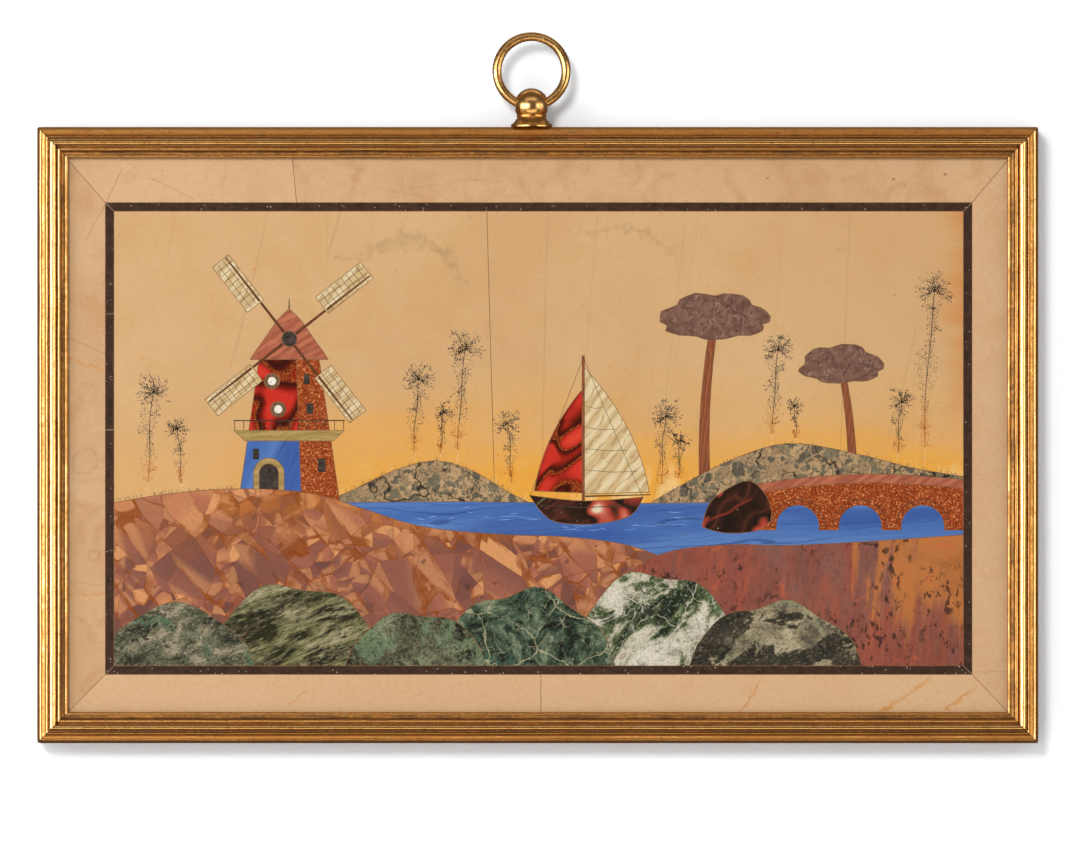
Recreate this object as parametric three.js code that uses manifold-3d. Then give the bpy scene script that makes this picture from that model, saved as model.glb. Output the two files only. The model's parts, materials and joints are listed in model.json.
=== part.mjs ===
// Framed hardstone mosaic panel: polished stones laid flush on a slate slab, inside a black fillet,
// a mitred marble border and a gilt brass frame with a hanging ring.
// Millimetres, +Z up, the picture faces -Y, and the origin is the middle of the back.
import * as THREE from "three";
import { mergeVertices } from "three/addons/utils/BufferGeometryUtils.js";
import Module from "manifold-3d";

const wasm = await Module();
wasm.setup();

// Frame
const frameWidth = 320;
const frameHeight = 197;
const frameDepth = 14;
const mouldingWidth = 10;
const wallThickness = 4.5;
const arrisDrop = 4.4;

// Beads of the moulding: inwards of the outer edge, and below the frame's highest point
const edgeBead = { inward: 0.12 * mouldingWidth, below: 3.15, radius: 0.38 };
const smallBead = { inward: 0.328 * mouldingWidth, below: 2.4, radius: 0.28 };
const mainBead = { inward: 0.515 * mouldingWidth, below: 1.15, radius: 1.15 };
const innerBead = { inward: 0.725 * mouldingWidth, below: 1.5, radius: 0.6 };
const sightBead = { inward: 0.945 * mouldingWidth, below: 2.25, radius: 0.45 };
const outerGroove = { below: 2.65, lip: 0.1 };
const innerGroove = { below: 1.75, lip: 0.05 };

// Stone layers
const stoneRecess = 3.8;
const stoneThickness = 3;
const bedGap = 0.3;
const lipGap = 0.3;
const joint = 0.2;

// Border and fillet, as widths that show
const borderLeft = 11.8;
const borderRight = 11.2;
const borderTop = 14.2;
const borderBottom = 12;
const topJointAt = -78;
const topJointSlant = 0.9;
const bottomJointAt = 1;
const filletWidth = 2.75;

// Ring and boss, as heights above the frame
const bossOffset = -2;
const bossSeat = 0.1;
const footRadius = 6.6;
const footHeight = 1.05;
const neckRadius = 4.5;
const neckHeight = 3.1;
const collarRadius = 4.85;
const collarHeight = 3.65;
const ballRadius = 5.5;
const ballHeight = 6.9;
const boreRadius = 2.4;
const boreHeight = 7.5;
const ringRadius = 11.05;
const wireRadius = 1.45;
const ringHeight = 17.9;

// Landscape, drawn from its lower left corner on a sheet of this size and then fitted to the picture
const sheetWidth = 271.5;
const sheetHeight = 145.3;
const overrun = 3;
const pastRight = sheetWidth + overrun;
const pastTop = sheetHeight + overrun;
const shore = 52;
const skyFoot = 40;
const skyJoint = { foot: 122, head: 119 };
const mill = { at: 56, foot: 46, top: 98, peak: 114, footHalf: 17, topHalf: 9.5, eaves: 2.8 };
const shadeLine = 0.25;
const gallery = { low: 72, high: 75.2, lowReach: 0.8, highReach: 4.4 };
const hub = { u: 56, v: 104.5, radius: 2.4 };
const vane = { count: 4, tilt: 38, from: 15, to: 33, spar: -1.2, edge: 5.2 };
const door = { at: 49.5, foot: 50, spring: 61.5, half: 3, surround: 1.8 };
const roundWindow = { rim: 2.4, dot: 1.3, places: [[50.5, 91], [52.5, 82]] };
const boat = { bow: 133, mast: 150, stern: 169, deck: 53, keel: 45.5, masthead: 99, mastHalf: 0.3 };
const bridge = { left: 203, foot: 43.5, spring: 44.5, parapet: 2.6 };
const arch = { radius: 7, first: 218.5, pitch: 20, count: 3 };
const bridgeDeck = [[bridge.left, 55], [220, 57.4], [240, 58.6], [258, 58], [pastRight, 56.4]];
const knollEdge = [[188, 44.5], [190.5, 52], [197, 57], [203.5, 59], [208.5, 54], [210, 47], [205, 43.2],
  [195, 42.6], [188, 44.5]];
const fieldCrest = [[-overrun, 51.5], [18, 55], [40, 56.5], [62, 55.2], [80, 50], [98, 44.5], [122, 42],
  [146, 41], [166, 38], [186, 30]];
const bankCrest = [[152, -overrun], [156, 14], [163, 28], [176, 36], [196, 38.6], [216, 38.4], [240, 39.6],
  [pastRight, 42]];
const leftHillCrest = [[60, 49], [76, 56], [90, 62.5], [103, 65.5], [115, 62], [126, 55.5], [136, 50.5]];
const rightHillCrest = [[169, 50.5], [182, 58], [198, 66], [216, 71], [238, 67.5], [256, 63],
  [pastRight, 60]];
const shoreLine = [[60, shore], [110, shore + 0.4], [160, shore - 0.2], [210, shore + 0.3],
  [pastRight, shore]];

const stoneFace = frameDepth - stoneRecess;
const stoneBack = stoneFace - stoneThickness;
const outer = {
  left: -frameWidth / 2,
  right: frameWidth / 2,
  bottom: -frameHeight / 2,
  top: frameHeight / 2,
};
const sight = inset(outer, mouldingWidth);
const rebate = inset(outer, wallThickness + joint);
const filletOuter = {
  left: sight.left + borderLeft,
  right: sight.right - borderRight,
  bottom: sight.bottom + borderBottom,
  top: sight.top - borderTop,
};
const picture = inset(filletOuter, filletWidth);

const brass = new THREE.MeshStandardMaterial({ color: "#b98a3f", metalness: 1, roughness: 0.25 });
const slate = stone("#5b5c5a");
const borderMarble = stone("#d3aa80");
const blackStone = stone("#3d2a20");
const skyStone = stone("#d8b07a");
const hillStone = stone("#7d8474");
const blueGlass = stone("#4a78c2");
const jasper = stone("#8d4526");
const breccia = stone("#a87446");
const darkGreen = stone("#4a6444");
const cloudyGreen = stone("#7f9079");
const paleGreen = stone("#b9bfa4");
const blotched = stone("#8f9181");
const aventurine = stone("#7d4c27");
const redGlass = stone("#b03a2c");
const roofStone = stone("#b68a70");
const goldAgate = stone("#b6a65a");
const creamAgate = stone("#dcc79c");
const darkAgate = stone("#43291f");
const porphyry = stone("#70504d");
const trunkStone = stone("#7a3f28");
const nightStone = stone("#1f1815");
const rimStone = stone("#6d4427");
const whiteStone = stone("#efe7d8");

function stone(colour) {
  return new THREE.MeshStandardMaterial({ color: colour, roughness: 0.3 });
}

function inset(box, by) {
  return { left: box.left + by, right: box.right - by, bottom: box.bottom + by, top: box.top - by };
}

function point(u, v) {
  return new THREE.Vector2(u, v);
}

function corners({ left, right, bottom, top }) {
  return [point(left, bottom), point(right, bottom), point(right, top), point(left, top)];
}

// A smooth line through a few places, cut into equal steps.
function flow(places, steps) {
  return new THREE.SplineCurve(places.map(([u, v]) => point(u, v))).getSpacedPoints(steps);
}

function circle(u, v, radius, steps) {
  return new THREE.EllipseCurve(u, v, radius, radius).getPoints(steps).slice(0, steps);
}

// The outline moved outwards by a distance, or inwards by a negative one.
function grow(outline, by) {
  const turn = THREE.ShapeUtils.isClockWise(outline) ? -1 : 1;
  return outline.map((here, i) => {
    const before = here.clone().sub(outline.at(i - 1)).normalize();
    const after = outline[(i + 1) % outline.length].clone().sub(here).normalize();
    const mean = point(before.y + after.y, -before.x - after.x);
    const reach = Math.max(1 + before.dot(after), 0.4);
    return here.clone().addScaledVector(mean, (turn * by) / reach);
  });
}

function solidOf(geometry) {
  geometry.deleteAttribute("normal");
  geometry.deleteAttribute("uv");
  const merged = mergeVertices(geometry, 1e-4);
  return new wasm.Manifold(new wasm.Mesh({
    numProp: 3,
    vertProperties: new Float32Array(merged.attributes.position.array),
    triVerts: new Uint32Array(merged.index.array),
  }));
}

function named(name, geometry, material) {
  const mesh = new THREE.Mesh(geometry, material);
  mesh.name = name;
  return mesh;
}

function meshOf(name, solid, material) {
  const made = solid.getMesh();
  const geometry = new THREE.BufferGeometry();
  geometry.setAttribute("position", new THREE.BufferAttribute(made.vertProperties, made.numProp));
  geometry.setIndex(new THREE.BufferAttribute(made.triVerts, 1));
  geometry.computeVertexNormals();
  return named(name, geometry, material);
}

// An outline drawn in the plane of the panel, thick from one distance forward of the back to another.
function slabGeometry(outline, back, front) {
  const shape = new THREE.Shape(outline);
  const geometry = new THREE.ExtrudeGeometry(shape, { depth: front - back, bevelEnabled: false });
  return geometry.translate(0, 0, back);
}

function tile(name, outline, material) {
  return named(name, slabGeometry(grow(outline, -joint / 2), stoneBack, stoneFace), material);
}

function beadStart(bead) {
  return [-bead.inward + bead.radius, frameDepth - bead.below];
}

function beadEnd(bead) {
  return [-bead.inward - bead.radius, frameDepth - bead.below];
}

function addBead(section, bead) {
  section.absarc(-bead.inward, frameDepth - bead.below, bead.radius, 0, Math.PI);
}

// A flat-bottomed groove between two beads.
function addGroove(section, groove, before, after) {
  section.lineTo(beadEnd(before)[0] - groove.lip, frameDepth - groove.below);
  section.lineTo(beadStart(after)[0], frameDepth - groove.below);
}

// A hollow between two beads, with the pull of its curve at a share of the way.
function addHollow(section, before, after, share) {
  const [fromX, fromY] = beadEnd(before);
  const [toX, toY] = beadStart(after);
  section.quadraticCurveTo(fromX + (toX - fromX) * share, Math.min(fromY, toY), toX, toY);
}

// Moulding section: x runs inwards from the outer edge as a negative number, y runs forward of the back.
function mouldingSection() {
  const section = new THREE.Shape();
  section.moveTo(0, 0);
  section.lineTo(0, frameDepth - arrisDrop);
  addBead(section, edgeBead);
  addHollow(section, edgeBead, smallBead, 0.6);
  addBead(section, smallBead);
  addGroove(section, outerGroove, smallBead, mainBead);
  addBead(section, mainBead);
  addGroove(section, innerGroove, mainBead, innerBead);
  addBead(section, innerBead);
  addHollow(section, innerBead, sightBead, 0.15);
  addBead(section, sightBead);
  section.lineTo(-mouldingWidth, frameDepth - sightBead.below - sightBead.radius / 3);
  section.lineTo(-mouldingWidth, stoneFace + lipGap);
  section.lineTo(-wallThickness, stoneFace + lipGap);
  section.lineTo(-wallThickness, 0);
  return section;
}

// One length of moulding, lying along x with its outer edge up, its ends sheared to the mitres.
function mouldingLength(name, length, outwards, turn) {
  const extrusion = { depth: 1, bevelEnabled: false, curveSegments: 4 };
  const geometry = new THREE.ExtrudeGeometry(mouldingSection(), extrusion);
  const position = geometry.getAttribute("position");
  for (let i = 0; i < position.count; i++) {
    const inward = -position.getX(i);
    const half = length / 2 - inward - joint * Math.SQRT1_2;
    position.setXYZ(i, position.getZ(i) > 0.5 ? half : -half, outwards - inward, position.getY(i));
  }
  geometry.computeVertexNormals();
  const rail = named(name, geometry, brass);
  rail.rotation.z = turn;
  return rail;
}

const panel = new THREE.Group();
panel.rotation.x = Math.PI / 2;
panel.add(mouldingLength("frame_top_rail", frameWidth, frameHeight / 2, 0));
panel.add(mouldingLength("frame_left_stile", frameHeight, frameWidth / 2, Math.PI / 2));
panel.add(mouldingLength("frame_bottom_rail", frameWidth, frameHeight / 2, Math.PI));
panel.add(mouldingLength("frame_right_stile", frameHeight, frameWidth / 2, -Math.PI / 2));
panel.add(named("backing_slab", slabGeometry(corners(rebate), 0, stoneBack - bedGap), slate));

// Border strips between the rebate and the fillet, mitred from corner to corner.
const [lowLeft, lowRight, highRight, highLeft] = corners(rebate);
const [innerLowLeft, innerLowRight, innerHighRight, innerHighLeft] = corners(filletOuter);
const topJointOuter = point(topJointAt - topJointSlant, rebate.top);
const topJointInner = point(topJointAt + topJointSlant, filletOuter.top);
const bottomJointOuter = point(bottomJointAt, rebate.bottom);
const bottomJointInner = point(bottomJointAt, filletOuter.bottom);
const strips = [
  ["border_top_left", [highLeft, innerHighLeft, topJointInner, topJointOuter]],
  ["border_top_right", [topJointOuter, topJointInner, innerHighRight, highRight]],
  ["border_right", [highRight, innerHighRight, innerLowRight, lowRight]],
  ["border_bottom_right", [lowRight, innerLowRight, bottomJointInner, bottomJointOuter]],
  ["border_bottom_left", [bottomJointOuter, bottomJointInner, innerLowLeft, lowLeft]],
  ["border_left", [lowLeft, innerLowLeft, innerHighLeft, highLeft]],
];
for (const [name, outline] of strips) {
  panel.add(tile(name, outline, borderMarble));
}

const filletSides = ["fillet_bottom", "fillet_right", "fillet_top", "fillet_left"];
const outerCorners = corners(filletOuter);
const innerCorners = corners(picture);
filletSides.forEach((name, i) => {
  const next = (i + 1) % filletSides.length;
  const outline = [outerCorners[i], outerCorners[next], innerCorners[next], innerCorners[i]];
  panel.add(tile(name, outline, blackStone));
});

// A rounded rock that rises from the lower edge of the picture, with a few knuckles along its back.
function boulder(left, right, crest, knuckles) {
  const steps = 22;
  const outline = [point(right, -overrun), point(left, -overrun)];
  for (let i = 0; i <= steps; i++) {
    const along = i / steps;
    const swell = Math.pow(Math.sin(Math.PI * along), 0.55);
    const knuckle = 1 + 0.07 * Math.sin(knuckles * Math.PI * along + knuckles);
    outline.push(point(left + (right - left) * along, crest * swell * knuckle));
  }
  return outline;
}

// Land under a crest line, running down past the lower edge of the picture.
function land(crest, steps) {
  const line = flow(crest, steps);
  return [...line, point(line.at(-1).x, -overrun), point(line[0].x, -overrun)];
}

function lake() {
  const [first, last] = [shoreLine[0], shoreLine.at(-1)];
  const floor = shore - 22;
  return [...flow(shoreLine, 12), point(last[0], floor), point(first[0], floor)];
}

function sky(footLeft, footRight, headLeft, headRight) {
  return [
    point(footLeft, skyFoot),
    point(footRight, skyFoot),
    point(headRight, pastTop),
    point(headLeft, pastTop),
  ];
}

function millHalf(v) {
  const share = (v - mill.foot) / (mill.top - mill.foot);
  return mill.footHalf + (mill.topHalf - mill.footHalf) * share;
}

// One face of the tapering mill tower, between two heights and two shares of the half width.
function millFace(low, high, from, to) {
  return [
    point(mill.at + from * millHalf(low), low),
    point(mill.at + to * millHalf(low), low),
    point(mill.at + to * millHalf(high), high),
    point(mill.at + from * millHalf(high), high),
  ];
}

function millGallery() {
  const lowHalf = millHalf(gallery.low) + gallery.lowReach;
  const highHalf = millHalf(gallery.low) + gallery.highReach;
  return [
    point(mill.at - lowHalf, gallery.low),
    point(mill.at + lowHalf, gallery.low),
    point(mill.at + highHalf, gallery.high),
    point(mill.at - highHalf, gallery.high),
  ];
}

// The bell-shaped cap, drawn up one side and down the other.
function millCap() {
  const steps = 9;
  const half = mill.topHalf + mill.eaves;
  const right = [];
  const left = [];
  for (let i = 0; i < steps; i++) {
    const rise = i / steps;
    const bell = Math.cos((rise * Math.PI) / 2) * (1 - 0.22 * Math.sin(rise * Math.PI));
    const v = mill.top + (mill.peak - mill.top) * rise;
    right.push(point(mill.at + half * bell, v));
    left.unshift(point(mill.at - half * bell, v));
  }
  return [...right, point(mill.at, mill.peak), ...left];
}

function millVane(i) {
  const angle = THREE.MathUtils.degToRad(vane.tilt + (i * 360) / vane.count);
  const blade = corners({ left: vane.from, right: vane.to, bottom: vane.spar, top: vane.edge });
  return blade.map((p) => p.rotateAround(point(0, 0), angle).add(point(hub.u, hub.v)));
}

function doorway(half) {
  const opening = new THREE.Path();
  opening.moveTo(door.at - half, door.foot);
  opening.lineTo(door.at + half, door.foot);
  opening.absarc(door.at, door.spring, half, 0, Math.PI);
  return opening.getPoints(8);
}

function boatHull() {
  const { bow, mast, stern, deck, keel } = boat;
  const bowTip = [bow, deck + 1.4];
  const sternTip = [stern, deck + 0.8];
  const bottom = [[stern - 4, keel + 2.6], [mast + 4, keel], [mast - 8, keel + 0.4], [bow + 4, keel + 3.4]];
  const sheer = flow([bowTip, [mast, deck - 0.4], sternTip], 8);
  return [...sheer, ...flow([sternTip, ...bottom, bowTip], 18).slice(1, -1)];
}

function boatMast() {
  const { mast, mastHalf, deck, masthead } = boat;
  return corners({ left: mast - mastHalf, right: mast + mastHalf, bottom: deck - 2, top: masthead });
}

// A sail with a straight edge along the mast and a full outer edge.
function sail(side, head, foot, reach) {
  const luff = boat.mast + side * (boat.mastHalf + joint);
  const clew = point(boat.mast + side * reach, foot + 0.6);
  const pull = point(boat.mast + side * reach * 0.82, foot + (head - foot) * 0.55);
  const edge = new THREE.QuadraticBezierCurve(clew, pull, point(luff, head));
  return [point(luff, foot), ...edge.getPoints(12)];
}

// A flat-bottomed crown with knuckles all round.
function pineCrown(u, v, wide, tall, knuckles) {
  const steps = 36;
  const outline = [];
  for (let i = 0; i < steps; i++) {
    const angle = (i / steps) * Math.PI * 2;
    const lump = 1 + 0.07 * Math.sin(knuckles * angle) + 0.03 * Math.sin(2 * knuckles * angle + 1);
    const flat = Math.sin(angle) < 0 ? 0.6 : 1;
    outline.push(point(u + wide * lump * Math.cos(angle), v + tall * lump * flat * Math.sin(angle)));
  }
  return outline;
}

function pineTrunk(foot, bend, top, footHalf, topHalf) {
  const line = new THREE.QuadraticBezierCurve(point(...foot), point(...bend), point(...top)).getPoints(8);
  const right = [];
  const left = [];
  line.forEach((p, i) => {
    const half = footHalf + ((topHalf - footHalf) * i) / (line.length - 1);
    right.push(point(p.x + half, p.y));
    left.unshift(point(p.x - half, p.y));
  });
  return [...right, ...left];
}

function bridgeWall() {
  const wall = new THREE.Path();
  wall.moveTo(bridge.left, bridge.foot);
  for (let i = 0; i < arch.count; i++) {
    const at = arch.first + i * arch.pitch;
    wall.lineTo(at - arch.radius, bridge.foot);
    wall.absarc(at, bridge.spring, arch.radius, Math.PI, 0, true);
    wall.lineTo(at + arch.radius, bridge.foot);
  }
  wall.lineTo(pastRight, bridge.foot);
  return [...wall.getPoints(6), ...flow(bridgeDeck, 12).reverse()];
}

function bridgeParapet() {
  const deck = flow(bridgeDeck, 12);
  const coping = deck.map((p) => point(p.x, p.y + bridge.parapet)).reverse();
  return [...deck, ...coping];
}

// The stones of the picture, the nearest first: each one is cut by all that come before it.
const inlays = [];
for (let i = 0; i < vane.count; i++) {
  inlays.push([`mill_sail_${i + 1}`, millVane(i), creamAgate]);
}
roundWindow.places.forEach(([u, v], i) => {
  inlays.push([`mill_window_dot_${i + 1}`, circle(u, v, roundWindow.dot, 16), whiteStone]);
  inlays.push([`mill_window_ring_${i + 1}`, circle(u, v, roundWindow.rim, 20), rimStone]);
});
inlays.push(
  ["boulder_1", boulder(-6, 45, 19, 3), darkGreen],
  ["boulder_2", boulder(74, 119, 17, 4), paleGreen],
  ["boulder_3", boulder(184, 239, 20, 5), blotched],
  ["boulder_4", boulder(29, 86, 26, 4), darkGreen],
  ["boulder_5", boulder(103, 160, 24, 5), cloudyGreen],
  ["boulder_6", boulder(145, 201, 30, 4), paleGreen],
  ["jasper_bank", land(bankCrest, 34), jasper],
  ["breccia_field", land(fieldCrest, 34), breccia],
  ["mill_hub", circle(hub.u, hub.v, hub.radius, 20), nightStone],
  ["boat_hull", boatHull(), darkAgate],
  ["boat_mast", boatMast(), trunkStone],
  ["boat_mainsail", sail(1, 95, 55, 21), creamAgate],
  ["boat_jib", sail(-1, 88, 55.4, 15.5), redGlass],
  ["knoll", flow(knollEdge, 24).slice(1), darkAgate],
  ["bridge_parapet", bridgeParapet(), roofStone],
  ["bridge_wall", bridgeWall(), aventurine],
  ["lake", lake(), blueGlass],
  ["mill_door", doorway(door.half), nightStone],
  ["mill_door_arch", doorway(door.half + door.surround), goldAgate],
  ["mill_gallery", millGallery(), goldAgate],
  ["mill_cap", millCap(), roofStone],
  ["mill_upper_shaded", millFace(gallery.low, mill.top, shadeLine, 1), aventurine],
  ["mill_lower_shaded", millFace(mill.foot, gallery.low, shadeLine, 1), aventurine],
  ["mill_upper_lit", millFace(gallery.low, mill.top, -1, shadeLine), redGlass],
  ["mill_lower_lit", millFace(mill.foot, gallery.low, -1, shadeLine), blueGlass],
  ["hill_left", land(leftHillCrest, 18), hillStone],
  ["hill_right", land(rightHillCrest, 22), hillStone],
  ["pine_crown_1", pineCrown(192, 110, 17, 9, 7), porphyry],
  ["pine_trunk_1", pineTrunk([189, 55], [187.5, 84], [192, 110], 1.7, 1.1), trunkStone],
  ["pine_crown_2", pineCrown(232.5, 95, 13, 7.5, 6), porphyry],
  ["pine_trunk_2", pineTrunk([236, 55], [236.5, 76], [232.5, 95], 1.4, 0.9), trunkStone],
  ["sky_left", sky(-overrun, skyJoint.foot, -overrun, skyJoint.head), skyStone],
  ["sky_right", sky(skyJoint.foot, pastRight, skyJoint.head, pastRight), skyStone],
);

// From the sheet that the landscape is drawn on to the plane of the panel.
function fitted(outline) {
  const acrossScale = (picture.right - picture.left) / sheetWidth;
  const upScale = (picture.top - picture.bottom) / sheetHeight;
  return outline.map((p) => point(picture.left + p.x * acrossScale, picture.bottom + p.y * upScale));
}

const opening = solidOf(slabGeometry(corners(inset(picture, joint / 2)), stoneBack, stoneFace));
const cutters = [];
for (const [name, drawn, material] of inlays) {
  const outline = fitted(drawn);
  let solid = solidOf(slabGeometry(outline, stoneBack, stoneFace)).intersect(opening);
  for (const cutter of cutters) {
    solid = solid.subtract(cutter);
  }
  panel.add(meshOf(name, solid, material));
  cutters.push(solidOf(slabGeometry(grow(outline, joint), stoneBack - 1, stoneFace + 1)));
}

// The boss is turned about an upright axis: lip, hollow, collar and ball.
function bossProfile() {
  const hollow = new THREE.QuadraticBezierCurve(
    point(footRadius - 0.8, footHeight),
    point(neckRadius + 0.2, footHeight + 0.4),
    point(neckRadius, neckHeight),
  );
  const profile = [point(0, 0), point(footRadius, 0), point(footRadius, footHeight - 0.45)];
  profile.push(point(footRadius - 0.4, footHeight), ...hollow.getPoints(5));
  profile.push(point(collarRadius, neckHeight + 0.2), point(collarRadius, collarHeight));
  const start = Math.asin((collarHeight + 0.15 - ballHeight) / ballRadius);
  const steps = 10;
  for (let i = 0; i < steps; i++) {
    const angle = start + ((Math.PI / 2 - start) * i) / steps;
    profile.push(point(ballRadius * Math.cos(angle), ballHeight + ballRadius * Math.sin(angle)));
  }
  profile.push(point(0, ballHeight + ballRadius));
  return profile;
}

// The drilling runs from side to side, wide enough for the ring's curve to turn in it.
const turned = new THREE.LatheGeometry(bossProfile(), 28).rotateX(Math.PI / 2);
const drill = new THREE.CylinderGeometry(boreRadius, boreRadius, 4 * ballRadius, 28).rotateZ(Math.PI / 2);
drill.translate(0, 0, boreHeight);
const ring = new THREE.TorusGeometry(ringRadius, wireRadius, 10, 40).rotateX(Math.PI / 2);
ring.translate(0, 0, ringHeight);

const hanger = new THREE.Group();
hanger.position.set(bossOffset, -frameDepth / 2, frameHeight / 2 + bossSeat);
hanger.add(meshOf("ring_boss", solidOf(turned).subtract(solidOf(drill)), brass));
hanger.add(named("hanging_ring", ring, brass));

const part = new THREE.Group();
part.add(panel, hanger);
export default part;
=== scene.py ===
import bmesh
import bpy
import json
import math
import random
from mathutils import Matrix, Vector

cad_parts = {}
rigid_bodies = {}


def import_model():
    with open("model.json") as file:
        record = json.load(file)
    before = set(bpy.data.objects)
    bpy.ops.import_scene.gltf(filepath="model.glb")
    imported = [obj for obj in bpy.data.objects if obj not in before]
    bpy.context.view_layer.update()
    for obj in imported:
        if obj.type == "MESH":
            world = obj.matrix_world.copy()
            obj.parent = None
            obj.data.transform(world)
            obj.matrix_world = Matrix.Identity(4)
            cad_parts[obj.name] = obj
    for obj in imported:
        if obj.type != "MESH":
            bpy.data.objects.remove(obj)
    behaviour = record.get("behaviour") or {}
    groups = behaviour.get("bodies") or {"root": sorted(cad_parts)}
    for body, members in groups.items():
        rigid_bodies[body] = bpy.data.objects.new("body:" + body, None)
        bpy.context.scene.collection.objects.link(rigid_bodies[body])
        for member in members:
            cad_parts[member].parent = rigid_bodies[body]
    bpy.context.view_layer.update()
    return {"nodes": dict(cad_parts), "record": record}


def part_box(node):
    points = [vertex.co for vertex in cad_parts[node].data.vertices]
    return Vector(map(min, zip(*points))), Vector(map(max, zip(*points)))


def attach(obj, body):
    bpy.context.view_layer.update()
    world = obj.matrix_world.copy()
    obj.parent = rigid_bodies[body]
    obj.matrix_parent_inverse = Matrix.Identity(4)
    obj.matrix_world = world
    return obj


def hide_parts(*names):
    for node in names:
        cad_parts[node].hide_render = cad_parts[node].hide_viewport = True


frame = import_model()
nodes = frame["nodes"]
mm = 0.001
panel = {
    "width": 320, "height": 197,          # frame, mm
    "face": 10.2,                         # polished stone, forward of the back
    "left": -135.45, "bottom": -73.75,    # lower left corner of the picture
}
print("frame loaded:", len(nodes), "nodes")


def palette(**tones):
    # screen colours to linear light
    def linear(part):
        part /= 255
        return part / 12.92 if part <= 0.04045 else ((part + 0.055) / 1.055) ** 2.4
    return {key: (*map(linear, parts), 1) for key, parts in tones.items()}


# node helpers: a wire is an output socket that can be reckoned with
class Wire:
    def __init__(self, socket):
        self.socket, self.tree = socket, socket.id_data
        self.single = socket.type == "VALUE"

    def combine(self, operation, other):
        if self.single:
            return maths(operation, self, other)
        return vectorMaths(operation, self, (other,) * 3 if isinstance(other, (int, float)) else other)

    def __add__(self, other):
        return self.combine("ADD", other)

    def __sub__(self, other):
        return self.combine("SUBTRACT", other)

    def __mul__(self, other):
        return maths("MULTIPLY", self, other) if self.single else vectorMaths("SCALE", self, scale=other)

    def axis(self, key):
        return wire(self.tree, "SeparateXYZ", key, Vector=self)


def feed(socket, value):
    if isinstance(value, Wire):
        value.tree.links.new(value.socket, socket)
    else:
        socket.default_value = value


def put(tree, kind, settings=None, **inputs):
    made = tree.nodes.new("ShaderNode" + kind)
    for key, value in (settings or {}).items():
        setattr(made, key, value)
    for key, value in inputs.items():
        feed(made.inputs[key], value)
    return made


def wire(tree, kind, output=0, settings=None, **inputs):
    return Wire(put(tree, kind, settings, **inputs).outputs[output])


def wiresOf(node):
    return {socket.name: Wire(socket) for socket in node.outputs if socket.name}


def putBeside(values, kind, settings=None, slots=range(3)):
    # in the tree of the first wire, with the values in numbered slots
    made = put(next(value.tree for value in values if isinstance(value, Wire)), kind, settings)
    for slot, value in zip(slots, values):
        feed(made.inputs[slot], value)
    return made


def maths(operation, *values, clamp=False):
    return Wire(putBeside(values, "Math", {"operation": operation, "use_clamp": clamp}).outputs[0])


def vectorMaths(operation, *values, scale=None):
    made = putBeside(values, "VectorMath", {"operation": operation})
    if scale is not None:
        feed(made.inputs["Scale"], scale)
    return Wire(made.outputs["Value" if operation in ("DOT_PRODUCT", "LENGTH") else "Vector"])


def most(first, *others):
    for other in others:
        first = maths("MAXIMUM", first, other)
    return first


def blend(factor, first, second):
    return Wire(putBeside((factor, first, second), "Mix", {"data_type": "RGBA"}, (0, 6, 7)).outputs[2])


def layered(stone, base, *coats):
    # each coat is a mask and a colour; a word is one of the stone's tones
    result = stone[base] if isinstance(base, str) else base
    for mask, colour in coats:
        result = blend(mask, result, stone[colour] if isinstance(colour, str) else colour)
    return result


def spread(value, low, high, smooth=True):
    # 0 at low, 1 at high
    easing = "SMOOTHSTEP" if smooth else "LINEAR"
    return wire(value.tree, "MapRange", "Result", {"interpolation_type": easing}, Value=value,
                **{"From Min": low, "From Max": high})


def ramp(factor, stone, *stops):
    made = put(factor.tree, "ValToRGB", Fac=factor)
    points = made.color_ramp.elements
    while len(points) < len(stops):
        points.new(0.5)
    for point, (position, key) in zip(points, stops):
        point.position, point.color = position, stone[key]
    return Wire(made.outputs["Color"])


def stretched(place, wide=1, tall=1, turn=0, shift=(0, 0, 0)):
    # leaned to the right by turn degrees first, then scaled across and upwards
    return wire(place.tree, "Mapping", "Vector", {"vector_type": "TEXTURE"}, Vector=place,
                Scale=(1 / wide, 1, 1 / tall), Location=tuple(-part for part in shift),
                Rotation=(0, math.radians(turn), 0))


def noiseOf(place, scale, detail=4, roughness=0.55, warp=0, output="Fac"):
    return wire(place.tree, "TexNoise", output, Vector=place, Scale=scale, Detail=detail, Roughness=roughness,
                Distortion=warp)


def swayed(place, scale, detail, reach, roughness=0.55):
    return place + (noiseOf(place, scale, detail, roughness, output="Color") - 0.5) * reach


def cellsOf(place, scale, feature="F1"):
    return wiresOf(put(place.tree, "TexVoronoi", {"feature": feature}, Vector=place, Scale=scale))


def drawsOf(cells):
    # three even random numbers for each cell
    return wiresOf(put(cells["Color"].tree, "SeparateColor", Color=cells["Color"]))


def makeGroup(name, paint, outputs, **inputs):
    # an input without a number is a vector
    tree = bpy.data.node_groups.new(name, "ShaderNodeTree")
    for key, value in inputs.items():
        kind = "NodeSocketVector" if value is None else "NodeSocketFloat"
        socket = tree.interface.new_socket(name=key, in_out="INPUT", socket_type=kind)
        if value is not None:
            socket.default_value = value
    for key in outputs:
        kind = "NodeSocketColor" if key == "colour" else "NodeSocketFloat"
        tree.interface.new_socket(name=key, in_out="OUTPUT", socket_type=kind)
    result = tree.nodes.new("NodeGroupOutput").inputs
    for key, value in zip(outputs, paint(**wiresOf(tree.nodes.new("NodeGroupInput")))):
        feed(result[key], value)
    return tree


def useGroup(group, vector, **inputs):
    return wiresOf(put(vector.tree, "Group", {"node_tree": group}, vector=vector, **inputs))


# shader groups, distances in millimetres
def cloudMask(vector, scale, detail, warp, rough, low, high):
    return [spread(noiseOf(vector, scale, detail, rough, warp), low, high, smooth=False)]


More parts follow.
